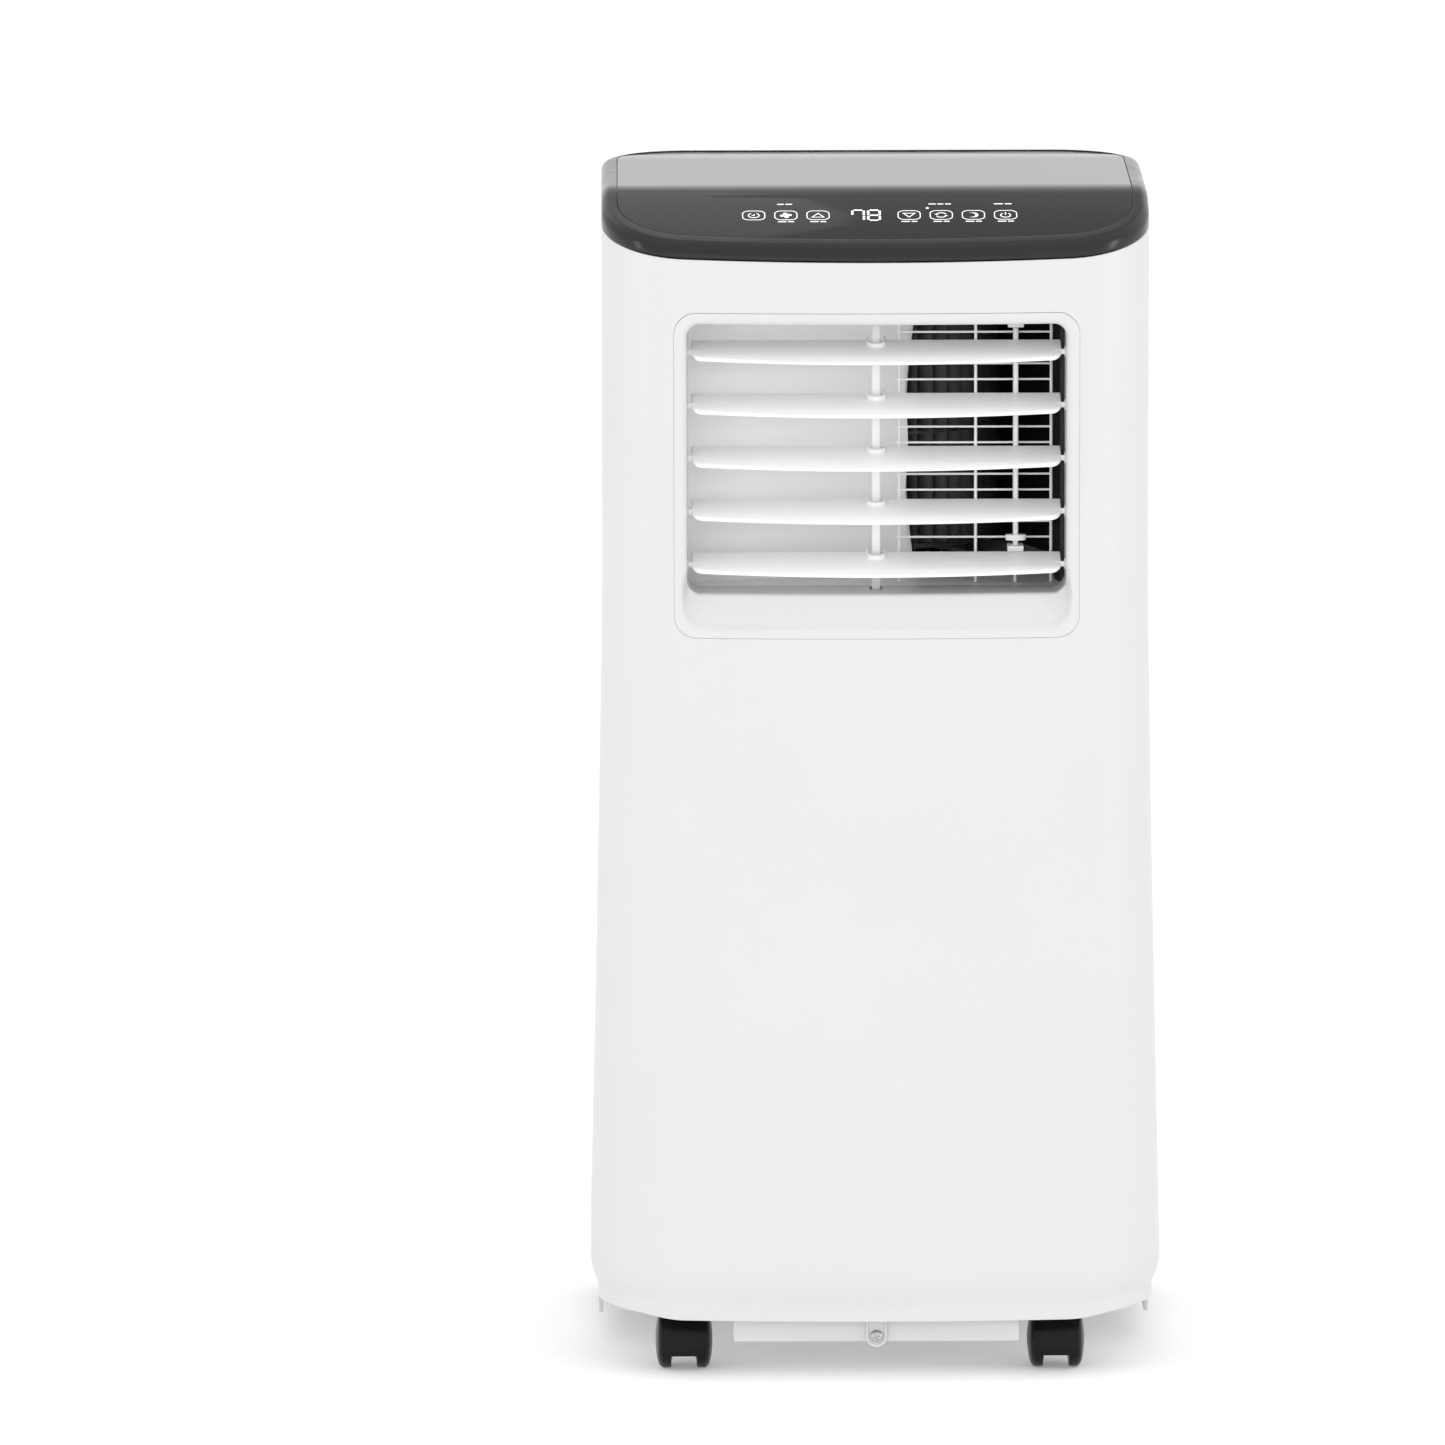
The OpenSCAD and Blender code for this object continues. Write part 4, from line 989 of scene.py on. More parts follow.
def outlet_bezel():
    form = Form()
    shares = [0, 0.06, 0.14] + steps(0.2, 0.78, 14) + steps(0.80, 1, 14)
    rings = [[(x, face_y(x, z) + scoop_depth(x, z) + lip_depth(x, z), z) for x, z in bezel_ring(s)]
             for s in shares]
    edge = rings[-1]
    for t in (0.04, 0.12, 0.3, 0.5, 0.75, 1):
        rings.append([(x, y + (TUNNEL_BACK - y) * t, z) for x, y, z in edge])
    form.loft(rings)
    obj = tidy_mesh(form.object("outlet_bezel"))
    front_face = min(obj.data.polygons, key=lambda p: p.center.y)
    if front_face.normal.y > 0:
        obj.data.flip_normals()
    thicken(obj, 2, edge=0.35)
    slots = [soft_box((-3.5, LOUVER_Y + 7, z - 9), (3.5, TUNNEL_BACK - 3, z + 9), 1.2)
             for z in (OPENING[1] - 5, OPENING[3] + 5)]
    pins = Form()
    for z in LOUVER_Z:
        for side in SIDES:
            turn = along_x((side * 101, LOUVER_Y, z), side)
            pins.add(lathe([(1.55, 0), (1.55, 9)], 24), turn)
    cut(obj, slots + [pins])
    collars = Form()
    for z in LOUVER_Z:
        for side in SIDES:
            turn = along_x((side * OPENING[2], LOUVER_Y, z), -side)
            rim = [(1.6, -0.5), (3.1, -0.5), (3.1, 0.5), (2.8, 0.8), (1.9, 0.8), (1.6, 0.5)]
            collars.add(ring(rim, 32), turn)
    boss = collars.object("louver_bearings")
    piece(boss, WHITE)
    return piece(obj, WHITE, stands_for=["outlet_frame"])


def louver_front(x):
    """Front edge of a louver at x: a shallow bow that turns into round corners."""
    straight = LOUVER_HALF - NOSE_W
    x = abs(x)
    if x <= straight:
        return -LOUVER_BACK + 6 * (x / LOUVER_HALF) ** 2
    corner = louver_front(straight) + NOSE_D
    return corner - NOSE_D * sqrt(max(1 - ((x - straight) / NOSE_W) ** 2, 0))


def louver_edge_distance(x, y):
    straight = LOUVER_HALF - NOSE_W
    corner = louver_front(straight) + NOSE_D
    ends = min(LOUVER_BACK - y, 3 * (LOUVER_HALF - abs(x)))
    if abs(x) > straight and y < corner:
        return min(ends, 2 * NOSE_W * (1 - hypot((abs(x) - straight) / NOSE_W, (y - corner) / NOSE_D)))
    return min(ends, y - louver_front(x))


def louver_height(x, y, side):
    """Half thickness of the blade, round at every edge; its top falls away to the front."""
    full = LOUVER_T / 2
    near = max(louver_edge_distance(x, y), 0)
    edge = full if near > full else sqrt(max(full ** 2 - (full - near) ** 2, 0))
    fall = max(0.0, (-y - 6) / (LOUVER_BACK - 6)) ** 2
    return side * edge - (1.7 if side > 0 else 0.9) * fall * edge / full


def louver_blade():
    """The upper and lower skins of a louver's blade, about its own axis."""
    form = Form()
    near_end = [90, 92, 94, 95.2, 96.3, 97.2, 98, 98.7, 99.2, 99.6, 99.85, 100]
    stations = [-x for x in reversed(near_end)] + steps(-near_end[0], near_end[0], 34)[1:-1] + near_end
    across = [0, .006, .015, .03, .05, .08, .14, .22, .32, .44, .56, .68, .8, .88, .93, .96, .98, .992, 1]
    for side in SIDES:
        rows = []
        for x in stations:
            start = louver_front(x)
            ys = [start + (LOUVER_BACK - start) * v for v in across]
            rows.append(form.row([(x, y, louver_height(x, y, side)) for y in ys]))
        for a, b in zip(rows, rows[1:]):
            form.join(a, b, closed=False)
    return form


def louver_bracket():
    """The raised U round the slot for the link, and the pin that the link clips on."""
    form = Form()
    outer, inner, front = NOTCH + 1.2, NOTCH, NOTCH_FRONT - 3.6
    back = LOUVER_BACK - 0.2
    line = [(outer, back)] + arc_points(0, front + outer, outer, 0, -180, 16) + [(-outer, back)]
    hole = [(inner, back)] + arc_points(0, front + outer + 1, inner, 0, -180, 16) + [(-inner, back)]
    rings = []
    for h, pull in ((-1.6, 0), (1.6, 0), (2.9, 0.1), (3.3, 0.5)):
        a = [(x * (outer - pull) / outer, y, h) for x, y in line]
        b = [(x * (inner + pull) / inner, y, h) for x, y in hole]
        rings.append(a + list(reversed(b)))
    form.loft(rings, ends=True)
    turn = along_x((-NOTCH - 1, LINK_ARM, 0))
    form.add(soft_cylinder(1.1, 2 * NOTCH + 2, 0.2, 20), turn)
    return form


def louvers():
    for i, z in enumerate(LOUVER_Z, 1):
        place = Matrix.Translation((0, LOUVER_Y, z)) @ Matrix.Rotation(LOUVER_TILT, 4, "X")
        blade = Form().add(louver_blade(), place).object(f"louver_blade_{i}")
        tidy_mesh(blade, merge=0.002)
        slot = slab([[(-NOTCH, NOTCH_FRONT), (NOTCH, NOTCH_FRONT), (NOTCH, LOUVER_BACK + 2),
                      (-NOTCH, LOUVER_BACK + 2)]], -4, 4)
        cut(blade, [Form().add(slot, place)])
        piece(blade, LOUVER_WHITE, f"louver_{i}", [f"louver_{i}"], angle=50)
        trim = Form().add(louver_bracket(), place)
        for side in SIDES:
            turn = along_x((side * (LOUVER_HALF - 4), 0, 0), side)
            trim.add(soft_cylinder(1.5, 8, 0.25, 24), place @ turn)
        piece(trim.object(f"louver_bracket_{i}"), DUCT_GREY, f"louver_{i}")


def louver_link():
    low, high = box_mm("louver_link")
    form = soft_box(tuple(low), tuple(high), 0.7)
    y = middle((low, high)).y
    lift = LINK_ARM * sin(LOUVER_TILT)
    for z in LOUVER_Z:
        turn = along_x((-2.7, y, z + lift))
        form.add(ring([(1.2, 0), (2.5, 0), (2.5, 5.0), (2.1, 5.4), (1.2, 5.4)], 24), turn)
    piece(form.object("link_bar"), DUCT_GREY, "louver_link", ["louver_link"])


GUARD = box_mm("finger_guard")
GUARD_Y = FRONT_Y + 52
UPRIGHT_R, CROSSWIRE_R = 0.85, 0.6
GUARD_COLUMNS = (13, 54.5, 95.5)
GUARD_ROWS = [OPENING[3] - 10 - 8.65 * k for k in range(16)]


def finger_guard():
    y = GUARD_Y
    form = Form()
    vane_x = joint_at("vane_swing").x
    for x in GUARD_COLUMNS + (vane_x,):
        form.add(tube([(x, y, z) for z in steps(GUARD[0].z, GUARD[1].z, 6)], UPRIGHT_R, 14))
    for z in GUARD_ROWS:
        line = [(x, y, z) for x in steps(GUARD_COLUMNS[0] - 2, GUARD_COLUMNS[2] + 0.6, 8)]
        form.add(tube(line, CROSSWIRE_R, 10))
    vane_low, vane_high = box_mm("guide_vane")
    for z in (vane_low.z + 0.4, vane_high.z - 3.7):
        form.add(soft_box((vane_x - 4.4, y - 12, z), (vane_x + 4.4, y, z + 3.3), 0.6))
    piece(form.object("guard_wires"), LOUVER_WHITE, stands_for=["finger_guard"])


def guide_vane():
    low, high = box_mm("guide_vane")
    x, y = joint_at("vane_swing").x, joint_at("vane_swing").y
    form = soft_box((x - 1.2, low.y + 2.2, low.z + 4), (x + 1.2, y + 4.4, high.z - 4), 0.5)
    form.add(soft_cylinder(1.5, high.z - low.z, 0.3, 24), Matrix.Translation((x, y, low.z)))
    tab = [(x + 5.5 * cos(a), low.y + 3 + 2.9 * sin(a)) for a in full_turn(28)]
    form.add(slab([tab], low.z + 7, low.z + 10))
    obj = form.object("swing_vane")
    piece(obj, DUCT_GREY, "guide_vane", ["guide_vane"])


# ---- duct behind the outlet --------------------------------------------------------------------
BLOWER_Y = joint_at("blower_spin").y
DUCT = box_mm("duct_housing")
DUCT_WALL = 2.2
THROAT_RIGHT = 100
TONGUE_X, TONGUE_Y = 16, -67.5
LIP_MID_Z, LIP_HALF = 506, 75     # the duct's lip bows to the right above and below its middle
SCROLL_START = -78


def scroll_r(a):
    return 77 + (THROAT_RIGHT - 77) * (SCROLL_START - a) / 282


def scroll_line(start=SCROLL_START):
    """The air path from the tongue round the blower to the right-hand side of the throat."""
    points = []
    for a in steps(start, -357, 90):
        t = radians(a)
        points.append((scroll_r(a) * cos(t), BLOWER_Y + scroll_r(a) * sin(t)))
    throat = [(THROAT_RIGHT, BLOWER_Y), (THROAT_RIGHT, TUNNEL_BACK + 22)]
    return points + throat + [(OPENING[2], TUNNEL_BACK + 13), (OPENING[2], TUNNEL_BACK + 0.3)]


def mouth_line():
    """The duct's left wall: from the mouth's left edge, curving back to the tongue."""
    points = [(OPENING[0], TUNNEL_BACK + 0.3)]
    for t in steps(1, 0, 36):
        points.append((TONGUE_X + (OPENING[0] - TONGUE_X) * t,
                       TONGUE_Y + (TUNNEL_BACK + 14 - TONGUE_Y) * t ** 1.6))
    return points


BLADES = 46
BLADE_IN, BLADE_OUT = 57.0, 70.0


def duct():
    low, high = DUCT
    floor, ceiling = low.z + DUCT_WALL, high.z - DUCT_WALL
    form = Form()
    mouth = mouth_line()
    rows = []
    for z in steps(floor, ceiling, 24):
        bulge = 7.0 * ((z - LIP_MID_Z) / LIP_HALF) ** 2 - 2.5
        tip = mouth[-1]
        lip = [(tip[0] + (2 + bulge) * t, tip[1] + 1.5 * t * t, z) for t in (0.4, 0.8, 1.0)]
        rows.append(form.row([(x, y, z) for x, y in mouth] + lip))
    for a, b in zip(rows, rows[1:]):
        form.join(a, b, closed=False)
    wall = tidy_mesh(form.object("duct_wall"))
    thicken(wall, DUCT_WALL * 0.5, edge=0.3)
    piece(wall, DUCT_GREY, stands_for=["duct_housing"])
    scroll = Form()
    behind_mouth = scroll_line(SCROLL_START - 36)
    scroll.loft([[(x, y, z) for x, y in behind_mouth] for z in steps(floor, ceiling, 4)], closed=False)
    back = thicken(tidy_mesh(scroll.object("duct_scroll"), (0, 8, 500)), DUCT_WALL)
    # the scroll takes the near-black painted shade
    piece(back, SCROLL_SHADE)
    plan_line = scroll_line() + mouth
    for name, z, r in (("duct_floor", low.z, 58), ("duct_ceiling", ceiling, 40)):
        plate = slab([plan_line, circle(0, BLOWER_Y, r)], z, z + DUCT_WALL)
        piece(plate.object(name), DUCT_GREY)


def blower_wheel():
    """A squirrel-cage wheel: thin curved blades between two rims, and a cup that carries its hub."""
    low, high = box_mm("blower_wheel")
    axis = Matrix.Translation((0, BLOWER_Y, low.z))
    height = high.z - low.z
    form = Form()
    rims = [(0, 3, BLADE_IN - 1, BLADE_OUT), (height / 2 - 1, 2, BLADE_IN + 2, BLADE_OUT - 1),
            (height - 3, 3, BLADE_IN - 1, BLADE_OUT)]
    for low_edge, wide, inner, outer in rims:
        rim = [(inner, 0.3), (inner + 0.3, 0), (outer - 0.3, 0), (outer, 0.3), (outer, wide - 0.3),
               (outer - 0.3, wide), (inner + 0.3, wide), (inner, wide - 0.3)]
        form.add(ring(rim, 96), axis @ Matrix.Translation((0, 0, low_edge)))
    for k in range(BLADES):
        turn = axis @ Matrix.Rotation(2 * pi * k / BLADES, 4, "Z")
        middle_line = []
        for t in steps(0, 1, 6):
            r = BLADE_IN + (BLADE_OUT - 0.6 - BLADE_IN) * t
            a = 0.13 * t ** 2
            middle_line.append((r * cos(a), r * sin(a)))
        outline = [(x, y - 0.5) for x, y in middle_line] + [(x, y + 0.5) for x, y in reversed(middle_line)]
        form.add(slab([outline], 2.5, height - 2.5), turn)
    cup = [(4.2, 51), (46, 51), (47, 52), (47.3, height - 3), (BLADE_OUT - 2, height - 3),
           (BLADE_OUT - 2, height), (45.2, height), (44, height - 1), (43.6, 54.5), (10, 54.5), (10, 67),
           (4.2, 67)]
    form.add(ring(cup, 96), axis)
    piece(form.object("squirrel_cage"), WHEEL_BLACK, "blower_wheel", ["blower_wheel"])


# ---- back of the casing ------------------------------------------------------------------------
def intake_grille(node, name):
    """A framed grille of rounded slats with two ribs."""
    low, high = box_mm(node)
    form = Form()
    width, border = 8.6, 6.5
    face = high.y
    rings = [[(x, y, z) for x, z in intake_outline((low, high), -inset)] for inset, y in
             ((2.0, face - width), (0.0, face - width), (0.0, face - 0.8), (0.23, face - 0.23), (0.8, face),
              (border - 0.8, face), (border - 0.2, face - 0.3), (border, face - 0.9), (border, face - 2))]
    rows = form.loft(rings)
    form.join(rows[-1], rows[0])
    reach = border - 0.5          # the slats and ribs run this far into the border
    slats = int((high.z - low.z - 2 * border) / 6.2)
    pitch = (high.z - low.z - 2 * border) / slats
    for k in range(slats):
        z = low.z + border + pitch * (k + 0.5)
        form.add(soft_box((low.x + reach, face - 4.2, z - 1.5), (high.x - reach, face - 0.3, z + 1.5), 1.1))
    third = (high.x - low.x) / 6
    for x in (-third, third):
        form.add(soft_box((x - 1.6, face - 5, low.z + reach), (x + 1.6, face - 0.9, high.z - reach), 0.7))
    piece(form.object(name), WHITE, node, [node])


def filter_mesh(node, name):
    """A frame with crossed threads, behind its grille."""
    low, high = box_mm(node)
    form = Form()
    depth = high.y - low.y
    for x in (low.x + 2.5, high.x - 2.5, (low.x + high.x) / 2):
        form.add(soft_box((x - 2.5, low.y, low.z), (x + 2.5, low.y + depth, high.z), 0.5))
    for z in (low.z + 2.5, high.z - 2.5, (low.z + high.z) / 2):
        form.add(soft_box((low.x, low.y + 0.05, z - 2.5), (high.x, low.y + depth - 0.05, z + 2.5), 0.5))
    form.add(soft_box((low.x + 1, low.y + 1.1, low.z + 1), (high.x - 1, low.y + 1.9, high.z - 1), 0.3))
    piece(form.object(name), FILTER, node.replace("filter", "grille"), [node])


def facing_back(x, y, z):
    """Turns a form built along +Z to stand out of the back, at a place."""
    return Matrix.Translation((x, y, z)) @ Matrix.Rotation(-pi / 2, 4, "X")


def exhaust_collar():
    low, high = COLLAR
    centre = middle(COLLAR)
    depth = high.y - low.y
    r = 64
    rim = [(r + 3 - 0.8 * (1 - sin(a)), depth - 0.8 * (1 - cos(a))) for a in steps(pi / 2, 0, 5)]
    inside = [(r + 0.8 * (1 - sin(a)), depth - 0.8 * (1 - cos(a))) for a in steps(0, pi / 2, 5)]
    profile = [(r, 0), (high.x - centre.x, 0), (high.x - centre.x, 3), (r + 3, 3)] + rim + inside
    form = Form().add(ring(profile, 128), facing_back(centre.x, low.y, centre.z))
    lug = soft_box((-7, -r - 1.6, 0), (7, 1 - r, 4.2), 0.8)
    for turn in (30, 150, 270):
        spin = Matrix.Rotation(radians(turn), 4, "Z")
        form.add(lug, facing_back(centre.x, high.y - 9, centre.z) @ spin)
    piece(form.object("hose_collar"), DUCT_GREY, stands_for=["exhaust_collar"])


def drain_plugs():
    for node in ("upper_drain_plug", "lower_drain_plug"):
        low, high = box_mm(node)
        centre = middle((low, high))
        depth = high.y - low.y
        stem = depth - 2.1
        profile = [(4.3, 0), (4.6, 0.4), (4.6, stem), (8.7, stem), (9, stem + 0.3)]
        profile += [(9 - 1.1 * (1 - cos(a)), depth - 1.1 + 0.7 * sin(a)) for a in steps(0, pi / 2, 4)]
        profile += [(5.6, depth - 0.4), (5.2, depth - 0.9)]
        form = Form().add(lathe(profile, 56), facing_back(centre.x, low.y, centre.z))
        form.add(soft_box((centre.x - 1.5, high.y - 1.6, centre.z - 5.2),
                          (centre.x + 1.5, high.y, centre.z + 5.2), 0.5))
        piece(form.object(node.replace("drain_plug", "plug_cap")), NYLON, node, [node])


def cord_gland():
    low, high = GLAND
    centre = middle(GLAND)
    depth = high.y - low.y
    profile = [(4, 0.4), (4.4, 0), (9.6, 0), (10, 0.4), (10, 4.4), (9.6, 4.8), (7.5, 4.8), (7.5, depth - 0.9)]
    profile += [(7.5 - 0.9 * (1 - cos(a)), depth - 0.9 + 0.9 * sin(a)) for a in steps(0, pi / 2, 4)]
    profile += [(4.7, depth), (4.0, depth - 0.7)]
    form = Form().add(ring(profile, 56), facing_back(centre.x, low.y, centre.z))
    piece(form.object("gland_bush"), NYLON, stands_for=["cord_gland"])


def side_grips():
    """Cups with round corners, set flush in the sides of the rear shell."""
    for name, (low, high) in zip(("left", "right"), GRIP):
        side = 1 if high.x > 0 else -1
        outer_x = max(abs(low.x), abs(high.x))
        inner_x = min(abs(low.x), abs(high.x))
        form = Form()
        profile = [(0.0, outer_x - 2.4), (0.0, outer_x - 0.5), (0.15, outer_x - 0.15), (0.5, outer_x),
                   (1.6, outer_x), (2.3, outer_x - 0.3), (2.6, outer_x - 1.0), (3.4, inner_x + 6)]
        profile += [(3.4 + 4 * (1 - cos(a)), inner_x + 2 + 4 * (1 - sin(a))) for a in steps(0.2, pi / 2, 5)]
        rings = []
        for inset, x in profile:
            r = max(7 - inset * 0.5, 2.5)
            outline = rounded_rect(low.y + inset, low.z + inset, high.y - inset, high.z - inset, r)
            rings.append([(side * x, y, z) for y, z in outline])
        rows = form.loft(rings)
        form.faces.append(tuple(rows[-1]))
        back = rounded_rect(low.y + 1, low.z + 1, high.y - 1, high.z - 1, 6)
        back_row = form.row([(side * inner_x, y, z) for y, z in back])
        form.join(back_row, rows[0])
        form.faces.append(tuple(reversed(back_row)))
        piece(form.object(f"grip_cup_{name}"), WHITE, stands_for=[f"handle_{name}"])


def screw_form():
    """A pan-head screw with a cross recess, its head's underside at the origin and facing +Z."""
    head = [(1.6, -4.5), (1.6, 0), (3.3, 0), (3.4, 0.3)]
    head += [(3.4 * cos(a), 0.3 + 1.7 * sin(a)) for a in steps(0.15, 1.35, 6)]
    return lathe(head, 40)


def screws():
    places = [Matrix.Translation((0, FRONT_Y + 15, 21.5)) @ Matrix.Rotation(pi / 2, 4, "X")]
    places += [facing_back(x, BACK_Y - 2.05, z) for x, z in SCREW_SPOTS]
    form, recess = Form(), Form()
    for place in places:
        form.add(screw_form(), place)
        for turn in (radians(20), radians(110)):
            blade = soft_box((-2.0, -0.36, 0.9), (2.0, 0.36, 4), 0.12)
            recess.add(blade, place @ Matrix.Rotation(turn, 4, "Z"))
    obj = tidy_mesh(form.object("cross_screws"))
    cut(obj, [recess])
    piece(obj, STEEL, stands_for=["case_screws"])


# ---- base and casters --------------------------------------------------------------------------
BASE_FLOOR = 43
CASTER_TRAIL = 8
WHEEL_R = joint_at("roll_fl").z
HOOD_R = WHEEL_R + 1.4


def caster_at(corner):
    return joint_at("swivel_" + corner)


def base_pan():
    hw = half_w(SKIRT_Z)
    front, back = FRONT_Y + TUCK, BACK_Y - TUCK + 1
    outer = lambda inset, z: [(x, y, z) for x, y in plan(hw, front, back, inset, REAR_R)]
    form = Form()
    rings = [outer(6.1, 33), outer(5.4, 33.2), outer(5, 33.9), outer(5, 61.2), outer(5.6, 62), outer(6.9, 62),
             outer(7.5, 61.4), outer(7.5, BASE_FLOOR + 1), outer(8.5, BASE_FLOOR)]
    under = [outer(8.5, 40), outer(7.5, 39), outer(7.5, 33.5)]
    rows = form.loft(rings)
    low_rows = form.loft(under)
    form.join(low_rows[-1], rows[0])
    form.faces.append(tuple(rows[-1]))
    form.faces.append(tuple(reversed(low_rows[0])))
    obj = tidy_mesh(form.object("base_tray"))
    bores, bosses = Form(), Form()
    for corner in CASTERS:
        at = Matrix.Translation(caster_at(corner).to_2d().to_3d())
        bores.add(lathe([(6.05, 36), (6.05, 66)], 48), at)
        bosses.add(ring([(6, 39), (9.5, 39), (10, 39.5), (10, 62), (6, 62)], 48), at)
    cut(obj, [bores])
    piece(obj, WHITE, stands_for=["base_pan"])
    piece(bosses.object("caster_bosses"), WHITE)
    strip = soft_box((-78.5, FRONT_Y + 18, 17.6), (78.5, FRONT_Y + 24, 41), 1.6, 4)
    piece(strip.object("front_strip"), WHITE)
    screw_tab()


def screw_tab():
    """The lug under the front edge, round at its end, with a raised rim round the screw."""
    y, z = FRONT_Y + 15, 21.2
    form = Form()
    sections = ((5.8, 4), (5.8, 0.5), (5.65, 0.12), (5.3, 0), (4.7, 0), (4.5, 0.15), (4.4, 0.9))
    form.loft([[(u, y + depth, v) for u, v in arc_points(0, z, r, 180, 360, 24) + [(r, 34), (-r, 34)]]
               for r, depth in sections], ends=True)
    piece(form.object("screw_tab"), WHITE)


def caster_hood(corner):
    at = caster_at(corner)
    body = f"caster_hood_{corner}"
    low, high = box_mm(body)
    half = 12.6
    axle = Vector((at.x, at.y - CASTER_TRAIL, WHEEL_R))
    start, end = asin((9 - WHEEL_R) / HOOD_R), pi - asin((9 - WHEEL_R) / HOOD_R)
    form = Form()
    rings = []
    profile = [(half - 0.1, HOOD_R - 0.75), (half, HOOD_R - 0.6), (half - 0.15, HOOD_R - 0.25),
               (half - 0.6, HOOD_R)]
    section = profile + [(-x, r) for x, r in reversed(profile)]
    section += [(-5.6, HOOD_R - 0.9), (-5.6, 5.5), (5.6, 5.5), (5.6, HOOD_R - 0.9)]
    for a in steps(start, end, 48):
        rings.append([axle + Vector((x, -r * cos(a), r * sin(a))) for x, r in section])
    form.loft(rings, ends=True)
    neck = [(8, WHEEL_R + 6), (8, 37.8), (7.4, 38.6), (4, 38.6), (4, high.z - 0.6), (3.4, high.z)]
    form.add(lathe(neck, 40), Matrix.Translation((at.x, at.y, 0)))
    hub = along_x(axle + Vector((-5.6, 0, 0)))
    form.add(soft_cylinder(5.6, 11.2, 0.3, 40), hub)
    piece(form.object(f"caster_cover_{corner}"), CASTER_BLACK, body, [body])


def caster_wheels(corner):
    body = f"caster_wheels_{corner}"
    at = joint_at("roll_" + corner)
    form = Form()
    profile = [(6.2, 6.2), (9.5, 6.0), (12.5, 6.9), (WHEEL_R - 1.3, 6.9), (WHEEL_R - 0.35, 7.2),
               (WHEEL_R, 8.0), (WHEEL_R, 11.6), (WHEEL_R - 0.25, 12.1), (WHEEL_R - 0.55, 12.3)]
    profile += [((WHEEL_R - 0.7) * cos(a), 12.3 + 3.3 * sin(a)) for a in steps(0.08, 1.25, 10)]
    profile += [(4.2, 15.55), (3.8, 15.2), (1.2, 15.1)]
    for side in SIDES:
        turn = along_x(at, side)
        form.add(lathe(profile, 72), turn)
    form.add(soft_cylinder(2, 14, 0.3, 24), along_x(at + Vector((-7, 0, 0))))
    piece(form.object(f"caster_discs_{corner}"), CASTER_BLACK, body, [body])


# ---- pieces kept from the frame ----------------------------------------------------------------
KEPT = {
    DUCT_GREY: ("drip_tray",),
    NYLON: ("condenser_wheel", "condenser_scroll", "exhaust_duct"),
    WHITE_INNER: ("slinger_wheel",),
    BOARD: ("display_board", "control_board"),
    STEEL: ("blower_motor", "condenser_motor", "slinger_motor", "control_box", "run_capacitor",
            "caster_sockets"),
    COPPER: ("evaporator_tubes", "condenser_tubes", "refrigerant_pipes", "capillary_tube"),
    FINS: ("evaporator_fins", "condenser_fins"),
    COMPRESSOR_PAINT: ("compressor", "accumulator"),
    RUBBER: ("compressor_feet",),
}


def keep_inner_nodes():
    for material, nodes in KEPT.items():
        for node in nodes:
            obj = frame["nodes"][node]
            obj.data.materials.clear()
            obj.data.materials.append(material)


# ---- stage, light and camera -------------------------------------------------------------------
def floor():
    mesh = bpy.data.meshes.new("floor")
    r = 90
    mesh.from_pydata([(-r, -r, 0), (r, -r, 0), (r, r, 0), (-r, r, 0)], [], [(0, 1, 2, 3)])
    obj = bpy.data.objects.new("floor", mesh)
    bpy.context.scene.collection.objects.link(obj)
    shader = Shader("floor_white", Roughness=1.0, Specular_IOR_Level=0.0, Emission_Strength=0.21,
                    Emission_Color=grey(1))
    shader.colour(shader.ramp(shader.noise(0.5, 2), grey(0.88), grey(0.89)))
    mesh.materials.append(shader.material)


def sky():
    """An even white studio, dimmer high up behind the object so that the sloping panel reads dark."""
    world = bpy.data.worlds.new("studio")
    bpy.context.scene.world = world
    world.use_nodes = True
    nodes, links = world.node_tree.nodes, world.node_tree.links
    split = nodes.new("ShaderNodeSeparateXYZ")
    links.new(nodes.new("ShaderNodeTexCoord").outputs["Generated"], split.inputs["Vector"])

    def span(value, low, high):
        node = add_node(nodes, "MapRange", From_Min=low, From_Max=high)
        node.interpolation_type = "SMOOTHSTEP"
        links.new(value, node.inputs["Value"])
        return node.outputs["Result"]

    def maths(operation, a, b):
        node = nodes.new("ShaderNodeMath")
        node.operation = operation
        for socket, value in zip(node.inputs, (a, b)):
            if isinstance(value, float):
                socket.default_value = value
            else:
                links.new(value, socket)
        return node.outputs["Value"]

    height, depth, across = split.outputs["Z"], split.outputs["Y"], split.outputs["X"]
    patch = span(height, 0.3, 0.62)
    for value, low, high in ((height, 0.98, 0.9), (depth, 0.1, 0.4), (across, -0.5, -0.2),
                             (across, 0.5, 0.2)):
        patch = maths("MULTIPLY", patch, span(value, low, high))
    even = maths("ADD", 1.03, maths("MULTIPLY", across, 0.07))
    dimmed = maths("SUBTRACT", even, maths("MULTIPLY", patch, 0.42))
    links.new(dimmed, nodes["Background"].inputs["Strength"])
    nodes["Background"].inputs["Color"].default_value = grey(1)


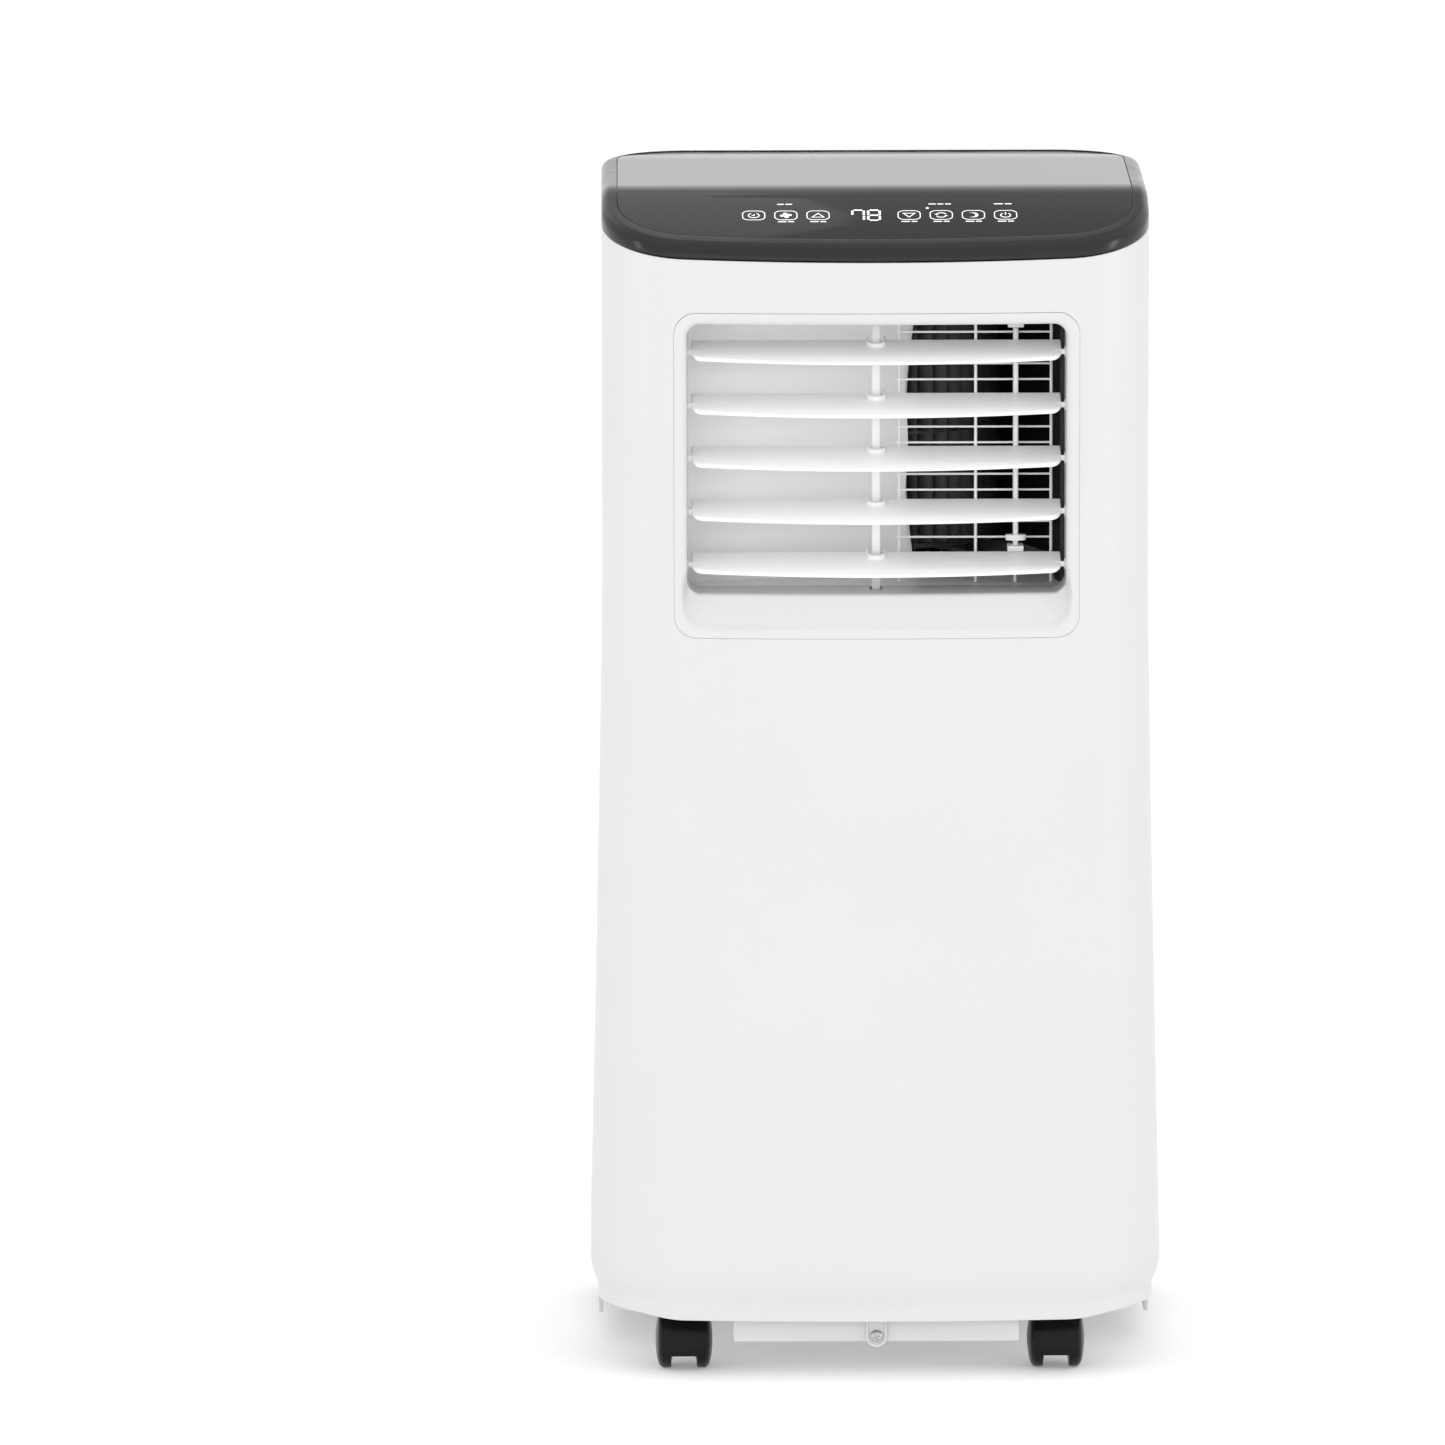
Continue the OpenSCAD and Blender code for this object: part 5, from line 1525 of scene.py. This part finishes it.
def area_light(name, place, target, size, power, mirrored=True):
    light = bpy.data.lights.new(name, "AREA")
    light.shape = "RECTANGLE"
    light.size, light.size_y = size
    light.energy = power
    obj = bpy.data.objects.new(name, light)
    bpy.context.scene.collection.objects.link(obj)
    obj.location = place
    obj.rotation_mode = "QUATERNION"
    obj.rotation_quaternion = (Vector(target) - Vector(place)).to_track_quat("-Z", "Y")
    obj.visible_glossy = mirrored


def lights():
    area_light("front", (-1.2, -5.2, 1.25), (0, 0, 0.4), (3.2, 2.4), 54, mirrored=False)
    area_light("back_left", (-0.8, 1.2, 2.1), (-0.8, -0.1, 0.64), (1.5, 0.9), 1.3)
    area_light("left_strip", (-3.4, -1.2, 1.0), (0, 0, 0.35), (0.4, 2.4), 8)
    area_light("right_strip", (3.4, -1.2, 1.0), (0, 0, 0.35), (0.4, 2.4), 14)


AIM_HEIGHT = 0.33
AZIMUTH, ELEVATION, DISTANCE = -1.0, 9.2, 8.0
FOCAL = 361.6
TURN_LEFT, TURN_UP = 0.592, 0.076     # degrees, so that the object stands right of the middle


def camera():
    data = bpy.data.cameras.new("camera")
    data.lens, data.sensor_width = FOCAL, 36
    data.clip_end = 400
    obj = bpy.data.objects.new("camera", data)
    bpy.context.scene.collection.objects.link(obj)
    a, e = radians(AZIMUTH), radians(ELEVATION)
    back = Vector((sin(a) * cos(e), -cos(a) * cos(e), sin(e)))
    obj.location = Vector((0, 0, AIM_HEIGHT)) + back * DISTANCE
    turn = Euler((radians(TURN_UP), radians(TURN_LEFT), 0)).to_quaternion()
    obj.rotation_mode = "QUATERNION"
    obj.rotation_quaternion = (-back).to_track_quat("-Z", "Y") @ turn
    bpy.context.scene.camera = obj


front_casing()
rear_casing()
cap_rim()
gloss_cover()
panel_marks()
outlet_bezel()
louvers()
louver_link()
finger_guard()
guide_vane()
duct()
blower_wheel()
intake_grille("upper_grille", "upper_intake_grille")
intake_grille("lower_grille", "lower_intake_grille")
filter_mesh("upper_filter", "upper_air_filter")
filter_mesh("lower_filter", "lower_air_filter")
exhaust_collar()
drain_plugs()
cord_gland()
side_grips()
screws()
base_pan()
for corner in CASTERS:
    caster_hood(corner)
    caster_wheels(corner)
keep_inner_nodes()
floor()
sky()
lights()
camera()
bpy.context.scene.view_settings.view_transform = "Standard"
